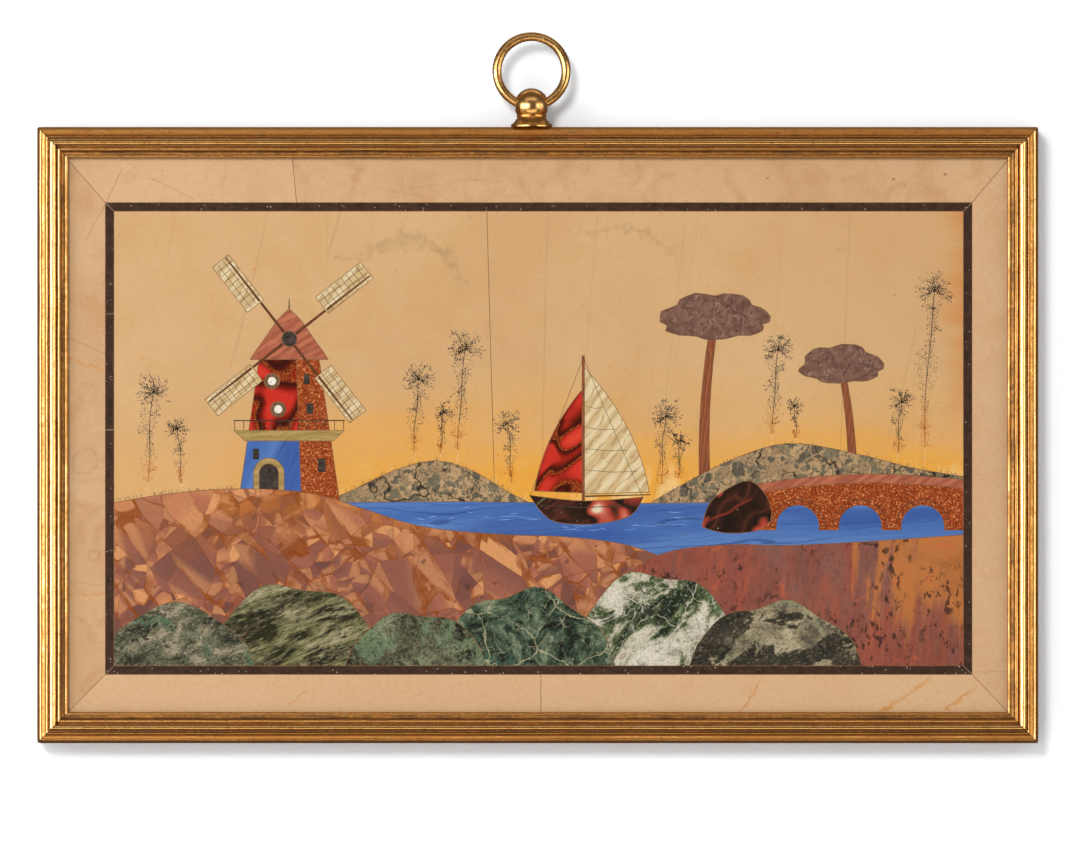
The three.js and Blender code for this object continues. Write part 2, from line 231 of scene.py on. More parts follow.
def veinMask(vector, scale, width, wander, fade):
    warped = swayed(vector, scale * 1.7, 3, maths("DIVIDE", wander, scale))
    line = spread(cellsOf(warped, scale, "DISTANCE_TO_EDGE")["Distance"], width, 0.0)
    return [line * spread(noiseOf(vector, scale * 0.9, 2), fade, fade + 0.12)]


def speckMask(vector, scale, size, share):
    cells = cellsOf(swayed(vector, scale * 2.2, 1, maths("DIVIDE", 0.5, scale)), scale)
    chosen = maths("LESS_THAN", drawsOf(cells)["Red"], share)
    return [spread(cells["Distance"], size, size * 0.6) * chosen]


def shardMasks(vector, scale, line):
    cells = cellsOf(vector, scale)
    heading = vectorMaths("NORMALIZE", cells["Color"] - 0.5)
    slope = vectorMaths("DOT_PRODUCT", (vector - cells["Position"]) * scale, heading)
    gap = cellsOf(vector, scale, "DISTANCE_TO_EDGE")["Distance"]
    wedge = spread(gap, 0.13, 0.09) * spread(slope, 0.12, 0.2)
    return drawsOf(cells)["Green"], maths("ADD", slope, 0.5, clamp=True), spread(gap, line, 0.0), wedge


def bandWave(vector, scale, warp, grain, phase):
    turns = vector.axis("X") * scale + noiseOf(vector, scale * 0.8, 2) * warp
    turns = turns + noiseOf(vector, scale * 4.0, 3) * grain + phase
    return [maths("SINE", turns * (2 * math.pi)) * 0.5 + 0.5]


def stainMask(vector, start, end, width, soft, wander):
    # a crack or vein from one point to another, wandering on its way
    away = swayed(vector, 0.35, 3, wander * 4.0, 0.6) - start
    run = end - start
    done, whole = (vectorMaths("DOT_PRODUCT", reach, run) for reach in (away, run))
    share = maths("DIVIDE", done, whole, clamp=True)
    gap = away - run * share
    flat = wire(vector.tree, "CombineXYZ", X=gap.axis("X"), Z=gap.axis("Z"))
    return [spread(vectorMaths("LENGTH", flat), width + soft, width)]


def polishMasks(vector, roughness):
    rubbed = [spread(noiseOf(stretched(vector, 0.05, 3.2, turn), 1.0, 1), 0.66, 0.74) for turn in (17, 128)]
    rough = roughness + (noiseOf(vector, 0.35, 2) - 0.5) * 0.07
    return maths("ADD", rough, most(*rubbed) * 0.04, clamp=True), noiseOf(vector, 0.12, 1) * 0.8


stoneClouds = makeGroup("stoneClouds", cloudMask, ["mask"], vector=None, scale=0.1, detail=5, warp=0.5,
                        rough=0.55, low=0.4, high=0.6)
stoneVeins = makeGroup("stoneVeins", veinMask, ["mask"], vector=None, scale=0.1, width=0.05, wander=0.6,
                       fade=0.45)
stoneSpecks = makeGroup("stoneSpecks", speckMask, ["mask"], vector=None, scale=1.0, size=0.3, share=0.5)
brokenShards = makeGroup("brokenShards", shardMasks, ["tint", "shade", "edge", "wedge"], vector=None,
                         scale=0.1, line=0.02)
flowBands = makeGroup("flowBands", bandWave, ["band"], vector=None, scale=0.1, warp=3.0, grain=0.15,
                      phase=0.0)
stainLine = makeGroup("stainLine", stainMask, ["mask"], vector=None, start=None, end=None, width=0.2,
                      soft=0.2, wander=0.6)
polishedFace = makeGroup("polishedFace", polishMasks, ["roughness", "height"], vector=None, roughness=0.3)
print("shader groups:", len(bpy.data.node_groups))


# patterns: a scale per millimetre, then where the mask starts and is full, or how wide it is
def clouds(place, scale, low, high, detail=5, warp=0.5, rough=0.55):
    return useGroup(stoneClouds, place, scale=scale, detail=detail, warp=warp, rough=rough, low=low,
                    high=high)["mask"]


def veins(place, scale, width, wander=0.6, fade=0.45):
    return useGroup(stoneVeins, place, scale=scale, width=width, wander=wander, fade=fade)["mask"]


def specks(place, scale, size, share):
    return useGroup(stoneSpecks, place, scale=scale, size=size, share=share)["mask"]


def shards(place, scale, line):
    return useGroup(brokenShards, place, scale=scale, line=line)


def bands(place, scale, warp=3.0, grain=0.15, phase=0.0):
    return useGroup(flowBands, place, scale=scale, warp=warp, grain=grain, phase=phase)["band"]


def stain(place, start, end, width, soft, wander):
    # between two points of the face, x and z
    return useGroup(stainLine, place, start=(start[0], 0, start[1]), end=(end[0], 0, end[1]), width=width,
                    soft=soft, wander=wander)["mask"]


def newMaterial(name):
    material = bpy.data.materials.new(name)
    material.use_nodes = True
    tree = material.node_tree
    return material, tree.nodes["Principled BSDF"], wire(tree, "TexCoord", "Object") * (1 / mm)


def finishShader(shader, colour, face, relief, depth):
    # depth of the bump in metres
    feed(shader.inputs["Base Color"], colour)
    feed(shader.inputs["Roughness"], face["roughness"])
    bump = wire(shader.id_data, "Bump", "Normal", Height=face["height"], Strength=relief, Distance=depth)
    feed(shader.inputs["Normal"], bump)


def stoneMaterial(name, paint, roughness=0.12, relief=0.05, **extra):
    material, shader, place = newMaterial(name)
    face = useGroup(polishedFace, place, roughness=roughness)
    finishShader(shader, paint(place, **extra), face, relief, 0.0002)
    return material


# sky: cream limestone, warm towards the horizon
skyStone = {
    **palette(cream=(208, 165, 115), pale=(213, 173, 124), sand=(202, 157, 104), glow=(232, 164, 62),
              ember=(222, 136, 42), white=(240, 206, 140), smoke=(160, 130, 92), rust=(205, 122, 48),
              crack=(160, 116, 70)),
    "glowFrom": 22, "glowTo": -20, "horizon": (-8, -19), "paleEnd": (-128, -30), "rustyEnd": (126, 141),
    # smoky trails in the stone: x, z and width
    "trails": (((-64, 56, 0.5), (-55, 58, 1.1), (-46, 61.5, 2.0), (-37, 62.5, 1.6), (-29, 58, 0.9),
                (-24, 48, 0.5)),
               ((14, 64, 0.5), (24, 66.5, 0.9), (36, 64, 0.8), (44, 57, 0.4))),
}


def paintSky(place):
    s = skyStone
    x, z = place.axis("X"), place.axis("Z")
    drift = noiseOf(stretched(place, 0.5, 1.6), 0.045, 3) - 0.5
    height = drift * 34 + z
    side = spread(x, *s["paleEnd"])
    low = spread(height, *s["horizon"]) * side
    ember = clouds(stretched(place, 0.35, 1.5), 0.09, 0.5, 0.72, 4)
    wisp = clouds(stretched(place, 1.4, 0.4), 0.11, 0.48, 0.68, 4)
    smears = [stain(place, start, end, start[2] * 0.25, start[2] + end[2], 2.6) * min(1, 0.5 + 0.3 * start[2])
              for trail in s["trails"] for start, end in zip(trail, trail[1:])]
    rusty = spread(drift * 26 + x, *s["rustyEnd"]) * spread(z, -10, 30)
    return layered(
        s, "cream", (clouds(place, 0.02, 0.35, 0.65, 3), "pale"),
        (clouds(place, 0.06, 0.5, 0.85, 5, 0.6) * 0.7, "sand"),
        (spread(height, s["glowFrom"], s["glowTo"]) * (side * 0.75 + 0.25), "glow"),
        (low * ember * 0.75, "ember"),
        (low * wisp * 0.8, "white"),
        (most(*smears) * (clouds(place, 0.3, 0.3, 0.75, 4) * 0.55 + 0.1), "smoke"),
        (rusty * 0.8, "rust"),
        (veins(stretched(place, 1, 0.05, 5), 0.04, 0.008, 0.08, 0.5) * 0.24, "crack"),
        (veins(stretched(place, 1, 0.04, 8, (40, 0, 0)), 0.09, 0.012, 0.08, 0.5) * 0.15, "crack"),
        (clouds(place, 0.6, 0.45, 0.75, 3, 0, 0.65) * 0.3, "sand"),
        (specks(place, 0.5, 0.16, 0.2) * 0.5, "smoke"),
        (specks(place + (9, 4, 2), 0.22, 0.1, 0.2) * 0.6, "ember"))


# border: cream marble, each strip with its own blush, cracks, rust veins, spots and wet rings (x and z in mm)
borderStone = palette(cream=(205, 163, 119), pale=(213, 173, 130), tan=(197, 151, 105), blush=(219, 179, 137),
                      crack=(138, 96, 60), rust=(208, 142, 72), spot=(120, 84, 56))
borderStrips = {
    "border_top_left": {"blush": 0.5, "cracks": [((-138.4, 73.5), (-133, 84.7), 0.9),
                                                 ((-124, 82.2), (-109.7, 75.4), 0.75)]},
    "border_top_right": {"wander": 0.7,
                         "cracks": [((-57, 80), (-36, 76), 0.42), ((-40, 79), (-16, 82), 0.42)],
                         "spots": [((73.2, 82.2), 0.5), ((113.5, 81.8), 0.6), ((130.1, 83.4), 0.45)]},
    "border_left": {"cracks": [((-138.4, 73.5), (-144.5, 62.3), 0.8), ((-150, -47), (-139, -48), 0.4),
                               ((-150.5, 31.4), (-138.5, 26), 0.7)],
                    "rusts": [((-151, -50.8), (-138, -51), 0.7), ((-151, 25), (-138, 20), 1.1)],
                    "rings": [((-144.6, -8.6), 4.0, 0.3), ((-144, 13.5), 2.7, 0.16),
                              ((-141.8, -38.3), 1.6, 0.24)]},
    "border_right": {"cracks": [((138, -75.8), (151, -75.6), 0.6)], "blush": 0.45},
    "border_bottom_left": {"rusts": [((-79.5, -86), (-74, -82), 0.9)], "blush": 0.7,
                           "cracks": [((-20, -77), (-12, -89), 0.3)]},
    "border_bottom_right": {"blush": 0.75, "rusts": [((108, -89.5), (125.5, -78.3), 1.4),
                                                     ((131, -88), (140, -80), 1.0),
                                                     ((64.5, -88.5), (71, -79), 0.9)]},
}


def paintBorder(place, blush=0.0, wander=0.12, cracks=(), rusts=(), spots=(), rings=()):
    broken = clouds(place, 0.25, 0.46, 0.6, 5, 0.6, 0.64)
    coats = [(clouds(place, 0.03, 0.35, 0.65), "pale"),
             (clouds(place, 0.09, 0.48, 0.66, 6, 0.9, 0.64) * 0.75, "tan"),
             (blush, "blush"),
             (clouds(place, 0.7, 0.46, 0.7, 3, 0, 0.66) * 0.3, "tan"),
             (veins(place, 0.05, 0.008, 0.3, 0.56) * 0.22, "crack")]
    for start, end, strength in cracks:
        coats.append((stain(place, start, end, 0.02, 0.15, wander) * (strength * 0.7), "crack"))
    for start, end, width in rusts:
        line = stain(place, start, end, width * 0.1, width * 0.55, 0.9)
        coats.append((line * (broken * 0.45 + 0.4), "rust"))
    for (x, z), radius, strength in rings:
        away = swayed(place, 0.16, 2, radius) - (x, -panel["face"], z)
        gap = maths("ABSOLUTE", vectorMaths("LENGTH", away) - radius)
        coats.append(((broken * 0.6 + 0.4) * spread(gap, 0.7, 0.1) * strength, "crack"))
    for (x, z), size in spots:
        coats.append((stain(place, (x, z), (x + 0.2, z), 0.1, size, 0.3) * 0.7, "spot"))
    return layered(borderStone, "cream", *coats, (specks(place, 0.7, 0.16, 0.14) * 0.5, "spot"))


# fillet: nearly black stone
filletStone = palette(black=(54, 38, 30), brown=(76, 54, 42), fleck=(206, 186, 164))


def paintFillet(place):
    mark = spread(noiseOf(stretched(place, 0.15, 1.5, 34), 1.2, 2), 0.72, 0.78)
    return layered(filletStone, "black", (clouds(place, 0.4, 0.35, 0.7), "brown"),
                   (specks(place, 0.9, 0.2, 0.26) * 0.85, "fleck"), (mark * 0.35, "fleck"))


# ground at the left: shards of brown stone, orange near the crest and mauve below
brecciaStone = {
    **palette(mauve=(144, 90, 74), plum=(112, 72, 64), rose=(178, 108, 80), tan=(216, 150, 98),
              amber=(190, 114, 54), brown=(152, 86, 44), seam=(140, 68, 22), dark=(84, 54, 48)),
    "crest": (-42, -22),
}


def paintBreccia(place):
    s = brecciaStone
    broken = swayed(place, 0.3, 3, 0.5)
    large = shards(stretched(broken, 1, 0.8, 24), 0.07, 0.01)
    small = shards(stretched(broken, 0.7, 1.1, -32), 0.2, 0.02)
    splinter = shards(stretched(broken, 0.4, 1.2, 52, (17, 3, 5)), 0.12, 0.016)
    crushed = maths("GREATER_THAN", large["tint"], 0.36)  # these cells are broken smaller
    tint = maths("FRACT", large["tint"] * 1.7 + small["tint"] * crushed + splinter["tint"] * 0.55)
    shade = splinter["shade"] + (small["shade"] - 0.5) * crushed
    level = (noiseOf(place, 0.05, 3) - 0.5) * 30 + place.axis("Z")
    below = ramp(tint, s, (0.0, "plum"), (0.3, "mauve"), (0.62, "mauve"), (0.8, "rose"), (0.97, "tan"))
    above = ramp(tint, s, (0.0, "brown"), (0.4, "amber"), (0.66, "rose"), (0.9, "tan"))
    patchy = clouds(place, 0.1, 0.4, 0.6)
    wedge = most(small["wedge"] * crushed, splinter["wedge"])
    seams = most(splinter["edge"], small["edge"] * crushed, large["edge"])
    return layered(
        s, below, (spread(level, *s["crest"]), above),
        (spread(shade, 0.55, 0.8) * 0.5, "tan"),
        (spread(shade, 0.42, 0.2) * 0.34, "plum"),
        (wedge * patchy * 0.85, "seam"),
        (seams * (patchy * 0.6 + 0.3), "seam"),
        (clouds(place, 0.9, 0.45, 0.75, 3, 0) * 0.2, "dark"),
        (specks(place, 0.22, 0.22, 0.1) * 0.6, "dark"))


# bank at the right: streaked red jasper with small black growths, orange in its outer corner
jasperStone = {
    **palette(brick=(150, 80, 64), mauve=(126, 80, 70), rust=(174, 88, 58), wine=(104, 56, 48),
              coral=(204, 100, 68), orange=(192, 118, 60), black=(56, 40, 34), bone=(196, 150, 118),
              grey=(132, 96, 84)),
    "cornerAcross": (104, 116), "cornerUp": (-66, -48),
}


def paintJasper(place):
    s = jasperStone
    streaks = stretched(place, 1, 0.16, 5)
    columns = noiseOf(stretched(place, 1, 0.12, 4), 0.22, 6, 0.62) - 0.5
    corner = spread(columns * 90 + place.axis("X"), *s["cornerAcross"])
    corner = corner * spread(columns * 60 + place.axis("Z"), *s["cornerUp"])
    fern = clouds(stretched(place, 1, 0.6), 0.5, 0.55, 0.58, 5, 0.4, 0.66)
    return layered(
        s, "mauve", (clouds(streaks, 0.12, 0.35, 0.62, 6, 0.6), "brick"),
        (clouds(streaks, 0.35, 0.52, 0.75, 6, 0.5) * 0.8, "rust"),
        (clouds(stretched(place, 1, 0.5, 8), 0.05, 0.5, 0.62, 6, 0.9, 0.66) * 0.5, "grey"),
        (clouds(stretched(place, 1, 0.5, 5), 0.7, 0.5, 0.66, 4, 0.3, 0.68) * 0.4, "wine"),
        (clouds(stretched(place, 1, 0.06, 4, (3, 0, 0)), 0.6, 0.62, 0.68, 4, 0.2) * 0.6, "rust"),
        (corner * 0.85, "orange"),
        (clouds(place, 0.13, 0.62, 0.68, 3, 1.2) * 0.4, "coral"),
        (fern * clouds(place, 0.07, 0.44, 0.58, 2) * 0.85, "black"),
        (clouds(place, 0.06, 0.55, 0.8, 6) * 0.5, "black"),
        (veins(streaks, 0.06, 0.012, 0.3, 0.54) * 0.22, "bone"),
        (specks(place, 0.55, 0.2, 0.12) * 0.7, "black"))


# boulders: serpentines, each from its own block
serpentine = {
    **palette(deep=(50, 50, 40), green=(92, 94, 72), moss=(124, 124, 96), mist=(176, 164, 136),
              black=(30, 29, 25), vein=(182, 176, 138), rust=(158, 98, 58), jade=(84, 112, 84)),
    "stops": (0.41, 0.47, 0.53, 0.6),                 # noise levels of deep, green, moss and mist
    "turn": 70, "stretch": 0.6, "cloud": 0.13, "warp": 0.6, "jadeFrom": 0.56,
    "flake": 0.2, "flakeFrom": 0.54, "flakeWhere": 0.42, "haze": 0.6,  # black flakes and pale patches
    "grain": 0.6, "glint": 0.45, "wideGrain": 0.4,    # shares of the black and pale speckle
    "veinScale": 0.05, "veinWidth": 0.02, "veinFade": 0.56, "veinShare": 0.5, "shift": (0, 0, 0),
}
boulderStones = {
    "boulder_1": dict(serpentine, **palette(moss=(112, 110, 86), mist=(164, 152, 124)), cloud=0.12,
                      jadeFrom=0.55, flakeFrom=0.52, wideGrain=0.55),
    "boulder_4": dict(serpentine, **palette(deep=(46, 44, 28), green=(98, 96, 64), moss=(136, 130, 90),
                                            mist=(168, 158, 122)),
                      turn=66, stretch=0.25, cloud=0.22, flake=0.16, flakeFrom=0.52, jadeFrom=0.7,
                      shift=(40, 9, 12)),
    "boulder_2": dict(serpentine, **palette(deep=(50, 44, 36), green=(82, 76, 58), moss=(102, 102, 78),
                                            mist=(128, 132, 102), jade=(112, 132, 98)),
                      jadeFrom=0.5, cloud=0.07, stretch=0.9, haze=0.75, wideGrain=0.6, shift=(7, 50, 3)),
    "boulder_5": dict(serpentine, **palette(deep=(26, 31, 26), green=(46, 60, 47), moss=(76, 94, 74),
                                            mist=(126, 136, 108), jade=(64, 94, 76)),
                      cloud=0.08, stretch=0.9, warp=1.2, haze=0.72, flakeFrom=0.58, grain=0.4, glint=0.3,
                      veinScale=0.065, veinWidth=0.032, veinFade=0.34, veinShare=0.85, shift=(90, 20, 31)),
    "boulder_6": dict(serpentine, **palette(deep=(34, 44, 30), green=(84, 98, 60), moss=(196, 188, 162),
                                            mist=(220, 212, 192), jade=(92, 112, 70), vein=(224, 216, 194)),
                      jadeFrom=0.58, stops=(0.41, 0.455, 0.49, 0.57), glint=0.3, cloud=0.034, stretch=0.9,
                      warp=0.8, flake=0.5, flakeFrom=0.6, flakeWhere=0.5, grain=0.35, veinFade=0.42,
                      veinShare=0.85, shift=(12, 31, 77)),
    "boulder_3": dict(serpentine, **palette(deep=(96, 88, 72), green=(136, 124, 98), moss=(164, 150, 118),
                                            mist=(182, 168, 136), black=(32, 31, 29), jade=(150, 146, 112)),
                      cloud=0.09, stretch=0.7, turn=80, flake=0.075, flakeFrom=0.475, flakeWhere=0.2,
                      haze=0.7, grain=0.5, glint=0.2, veinShare=0.15, shift=(61, 3, 20)),
}


def paintSerpentine(place, stone):
    s = stone
    moved = place + s["shift"]
    layers = stretched(moved, 1, s["stretch"], s["turn"])
    base = ramp(noiseOf(layers, s["cloud"], 7, 0.7, s["warp"]), s,
                *zip(s["stops"], ("deep", "green", "moss", "mist")))
    flake = clouds(layers, s["flake"], s["flakeFrom"], s["flakeFrom"] + 0.03, 6, 0.5, 0.7)
    where = clouds(moved, 0.06, s["flakeWhere"], s["flakeWhere"] + 0.14, 3)
    thick = noiseOf(moved, 0.2, 3) * (s["veinWidth"] * 2) + s["veinWidth"] * -0.4
    finer = veins(moved + (31, 7, 19), s["veinScale"] * 2.6, thick, 0.7, s["veinFade"] + 0.08)
    return layered(
        s, base,
        (clouds(moved + (17, 9, 5), 0.07, s["jadeFrom"], s["jadeFrom"] + 0.05, 5, 0.8, 0.66) * 0.75, "jade"),
        (clouds(moved + (7, 29, 3), 0.06, s["haze"], s["haze"] + 0.06, 5, 1.0, 0.68) * 0.85, "mist"),
        (flake * where * 0.92, "black"),
        (clouds(layers, 0.45, 0.53, 0.58, 5, 0.4, 0.7) * s["wideGrain"], "deep"),
        (veins(moved, s["veinScale"], thick, 0.55, s["veinFade"]) * s["veinShare"], "vein"),
        (finer * (s["veinShare"] * 0.8), "vein"),
        (veins(moved + (3, 71, 9), 0.03, 0.006, 0.5, 0.54) * 0.6, "rust"),
        (clouds(layers, 1.5, 0.53, 0.6, 3, 0, 0.66) * s["grain"], "black"),
        (clouds(layers + (5, 5, 5), 1.2, 0.56, 0.63, 3, 0, 0.66) * s["glint"], "mist"))


# far hills: puddingstone, grey pebbles in sand, with black veins
hillStone = {
    **palette(sand=(192, 158, 116), buff=(164, 134, 98), grey=(112, 104, 86), slate=(80, 76, 66),
              olive=(132, 120, 92), black=(40, 35, 29), pale=(212, 182, 142)),
    # pebbles of three sizes: scale, share of the cells and shift
    "pebbles": ((0.62, 0.5, (13, 5, 3)), (0.3, 0.62, (0, 0, 0)), (0.2, 0.4, (29, 8, 17))),
}


def paintHill(place):
    s = hillStone
    uneven = swayed(place, 0.45, 5, 4.2, 0.62)
    mottle = clouds(place, 0.9, 0.48, 0.62, 4, 0.3, 0.68) * 0.45
    pebbles = []
    for scale, share, shift in s["pebbles"]:
        cells = shards(uneven + shift, scale, 0.16)
        solid = spread(cells["edge"], 0.6, 0.3) * maths("LESS_THAN", cells["tint"], share)
        pick = maths("FRACT", cells["tint"] * 9.7)
        pebble = ramp(pick, s, (0.0, "slate"), (0.35, "grey"), (0.65, "olive"), (0.9, "buff"))
        pebbles.append((solid * 0.94, blend(mottle, pebble, s["slate"])))
    return layered(
        s, "sand", (clouds(place, 0.16, 0.4, 0.6, 6, 0.8, 0.66), "buff"), *pebbles,
        (veins(place, 0.055, 0.032, 0.8, 0.42), "black"),
        (veins(place, 0.14, 0.034, 0.8, 0.48) * 0.85, "black"),
        (clouds(place, 1.3, 0.55, 0.64, 3, 0, 0.66) * 0.5, "black"),
        (veins(place, 0.11, 0.012, 0.3, 0.56) * 0.6, "pale"))


# blue glass, drawn out in long soft bands
blueGlass = {
    **palette(blue=(70, 106, 170), light=(90, 126, 182), deep=(50, 80, 148), ink=(38, 54, 108),
              mud=(104, 100, 100)),
    "inkLines": ((0.7, 0.55), (0.18, 0.35)),  # phase and strength
}


def paintBlueGlass(place, turn=24, scale=0.06):
    pulled = stretched(place, 1, 0.12, turn)
    broken = clouds(pulled, scale * 2, 0.45, 0.55, 2)
    inks = [(spread(bands(pulled, scale * 1.5, 2.6, 0.03, phase), 0.988, 0.999) * broken * strength, "ink")
            for phase, strength in blueGlass["inkLines"]]
    return layered(
        blueGlass, "blue", (bands(pulled, scale, 1.4, 0.02), "light"),
        (spread(bands(pulled, scale * 0.7, 1.8, 0.03, 0.3), 0.6, 1.0) * 0.6, "deep"),
        (spread(bands(pulled, scale * 5, 4.0, 0.1, 0.6), 0.7, 1.0) * 0.22, "deep"), *inks,
        (clouds(pulled, 0.2, 0.66, 0.74) * 0.5, "mud"),
        (specks(place, 0.3, 0.07, 0.25) * 0.8, "ink"))


# copper-flecked glass
aventurine = {
    **palette(dark=(106, 40, 15), brick=(156, 66, 28), copper=(190, 94, 46), spark=(226, 150, 90)),
    "flake": 2.9,
}


def paintAventurine(place):
    s = aventurine
    flakes, finer = (drawsOf(cellsOf(place, s["flake"] * size)) for size in (1, 1.9))
    base = ramp(flakes["Red"], s, (0.0, "dark"), (0.38, "brick"), (0.72, "brick"), (0.86, "copper"),
                (0.97, "spark"))
    return layered(s, base, (spread(finer["Green"], 0.88, 0.98) * 0.5, "spark"),
                   (spread(finer["Blue"], 0.26, 0.1) * 0.6, "dark"),
                   (clouds(place, 0.12, 0.5, 0.8) * 0.3, "dark"))


# red slag glass and dark agate, both swirled
redGlass = palette(red=(200, 48, 36), bright=(222, 76, 52), wine=(120, 26, 14), black=(54, 18, 12),
                   copper=(204, 112, 44), ash=(186, 172, 154))
darkAgate = palette(black=(30, 22, 18), brown=(52, 32, 24), umber=(84, 44, 32), red=(172, 62, 48),
                    coral=(206, 112, 90), bone=(226, 206, 176), olive=(150, 146, 98))


def paintRedGlass(place):
    pulled = stretched(place, 1, 0.55, 24)
    swirl = noiseOf(pulled, 0.05, 1.5, 0.4, 1.4)
    base = ramp(swirl, redGlass, (0.3, "bright"), (0.43, "red"), (0.47, "wine"), (0.52, "black"),
                (0.56, "wine"), (0.6, "red"))
    rim = spread(swirl, 0.46, 0.48) * spread(swirl, 0.51, 0.49)
    return layered(redGlass, base, (rim * clouds(place, 3.4, 0.5, 0.6, 2) * 0.85, "copper"),
                   (clouds(pulled, 0.16, 0.69, 0.72, 4, 1.0) * 0.8, "ash"),
                   (specks(place, 0.8, 0.12, 0.16) * 0.7, "copper"))


def paintDarkAgate(place):
    pulled = stretched(place, 1, 0.6, 52)
    swirl = noiseOf(pulled, 0.09, 1.5, 0.4, 0.8)
    base = ramp(swirl, darkAgate, (0.3, "black"), (0.44, "brown"), (0.47, "umber"), (0.5, "brown"),
                (0.58, "black"), (0.6, "umber"), (0.625, "red"), (0.665, "coral"), (0.7, "bone"))
    feather = clouds(stretched(place, 1, 0.3, 60), 0.14, 0.6, 0.74, 7, 1.2, 0.6)
    thread = spread(bands(pulled, 0.06, 1.6, 0.02, 0.15), 0.985, 0.999) * clouds(place, 0.1, 0.48, 0.58, 2)
    return layered(darkAgate, base, (feather * 0.6, "olive"), (thread * 0.4, "red"),
                   (clouds(place, 1.0, 0.54, 0.66, 3, 0, 0.66) * 0.3, "umber"),
                   (specks(place, 0.8, 0.12, 0.14), "bone"))


# small stones, banded or speckled
bandedStones = {
    "gold_agate": {**palette(one=(184, 152, 96), two=(160, 134, 78), line=(136, 116, 62)),
                   "turn": 86, "scale": 0.35},
    "cream_agate": {**palette(one=(226, 206, 164), two=(206, 176, 126), line=(170, 128, 80)),
                    "turn": 40, "scale": 0.22},
    "roof_stone": {**palette(one=(188, 112, 82), two=(168, 92, 68), line=(132, 70, 54)),
                   "turn": 58, "scale": 0.3},
    "trunk_stone": {**palette(one=(158, 92, 60), two=(134, 74, 48), line=(98, 54, 38)),
                    "turn": 6, "scale": 0.8},
}
speckledStones = {
    "porphyry": palette(one=(108, 76, 64), two=(136, 100, 84), fleck=(182, 150, 130), dark=(62, 44, 38)),
    "night_stone": palette(one=(52, 45, 41), two=(76, 66, 59), fleck=(108, 97, 88), dark=(30, 26, 24)),
    "rim_stone": palette(one=(126, 96, 70), two=(104, 76, 54), fleck=(160, 130, 98), dark=(70, 50, 36)),
    "white_stone": palette(one=(244, 236, 222), two=(232, 220, 202), fleck=(252, 248, 240),
                           dark=(196, 178, 152)),
}


def paintBanded(place, stone):
    pulled = stretched(place, 1, 0.35, stone["turn"])
    line = spread(bands(pulled, stone["scale"] * 1.7, 2.2, 0.3, 0.4), 0.82, 0.98)
    return layered(stone, "one", (bands(pulled, stone["scale"], 1.6, 0.25), "two"), (line * 0.55, "line"),
                   (clouds(pulled, 0.5, 0.5, 0.8, 6) * 0.35, "line"),
                   (specks(place, 0.6, 0.12, 0.1) * 0.5, "line"))


def paintSpeckled(place, stone):
    return layered(stone, "one", (clouds(place, 0.3, 0.4, 0.62, 7, 0.8), "two"),
                   (clouds(place, 0.8, 0.55, 0.68, 6) * 0.7, "dark"),
                   (veins(place, 0.3, 0.05, 0.8, 0.5) * 0.6, "fleck"),
                   (specks(place, 1.3, 0.3, 0.2) * 0.75, "fleck"))


# the slab behind, sawn and left rough
slateStone = palette(grey=(92, 90, 88), dark=(66, 66, 68), pale=(124, 120, 114), rust=(120, 92, 66))


def paintSlate(place):
    sawn = clouds(stretched(place, 0.01, 1.4, 3), 0.9, 0.45, 0.7, 3, 0)
    return layered(slateStone, "grey", (clouds(place, 0.02, 0.35, 0.65, 7), "dark"), (sawn * 0.5, "pale"),
                   (clouds(place, 0.035, 0.6, 0.75, 6, 1.0) * 0.5, "rust"),
                   (specks(place, 0.4, 0.12, 0.2), "dark"))


# the finish of each slot; the borders, boulders and lake have their own
slotPaints = {
    "slate": dict(paint=paintSlate, roughness=0.75, relief=0.5),
    "black_stone": dict(paint=paintFillet, relief=0.12),
    "sky_limestone": dict(paint=paintSky, roughness=0.13),
    "hill_breccia": dict(paint=paintHill),
    "blue_glass": dict(paint=paintBlueGlass, roughness=0.1, relief=0.03),
    "jasper": dict(paint=paintJasper, roughness=0.13, relief=0.08),
    "brown_breccia": dict(paint=paintBreccia),
    "aventurine": dict(paint=paintAventurine),
    "red_glass": dict(paint=paintRedGlass, roughness=0.1, relief=0.03),
    "dark_agate": dict(paint=paintDarkAgate),
    **{slot: dict(paint=paintBanded, stone=stone) for slot, stone in bandedStones.items()},
    **{slot: dict(paint=paintSpeckled, stone=stone) for slot, stone in speckledStones.items()},
}
lakeFinish = {"roughness": 0.1, "relief": 0.03, "turn": 87, "scale": 0.09}


def dressStones():
    slotOf = {part["node"]: part["material_slot"] for part in frame["record"]["subparts"]}
    made = {slot: stoneMaterial(slot, **settings) for slot, settings in slotPaints.items()}
    for name, item in nodes.items():
        slot = slotOf[name]
        if name in borderStrips:
            finish = stoneMaterial(name + "_marble", paintBorder, 0.13, 0.06, **borderStrips[name])
        elif name in boulderStones:
            finish = stoneMaterial(name + "_serpentine", paintSerpentine, stone=boulderStones[name])
        elif name == "lake":
            finish = stoneMaterial("lake_glass", paintBlueGlass, **lakeFinish)
        elif slot in made:
            finish = made[slot]
        else:
            continue
        item.data.materials.clear()
        item.data.materials.append(finish)
    print("stones dressed:", len(made), "finishes")
    return made


stoneFinishes = dressStones()

# gilt brass: pale on the crests, deep gold in the hollows, brown where dirt has settled and as painted shade
# on chosen flanks of the moulding
gilt = {
    "pale": (0.94, 0.65, 0.31, 1), "gold": (0.90, 0.57, 0.22, 1), "deep": (0.74, 0.385, 0.11, 1),
    "worn": (0.60, 0.30, 0.11, 1), "brown": (0.25, 0.14, 0.07, 1), "roughness": 0.19, "relief": 0.12,
    "streak": (0.08, 1.1),                   # along and across the moulding
    "turnedWear": 0.2, "turnedRough": 0.23,  # boss and ring
}


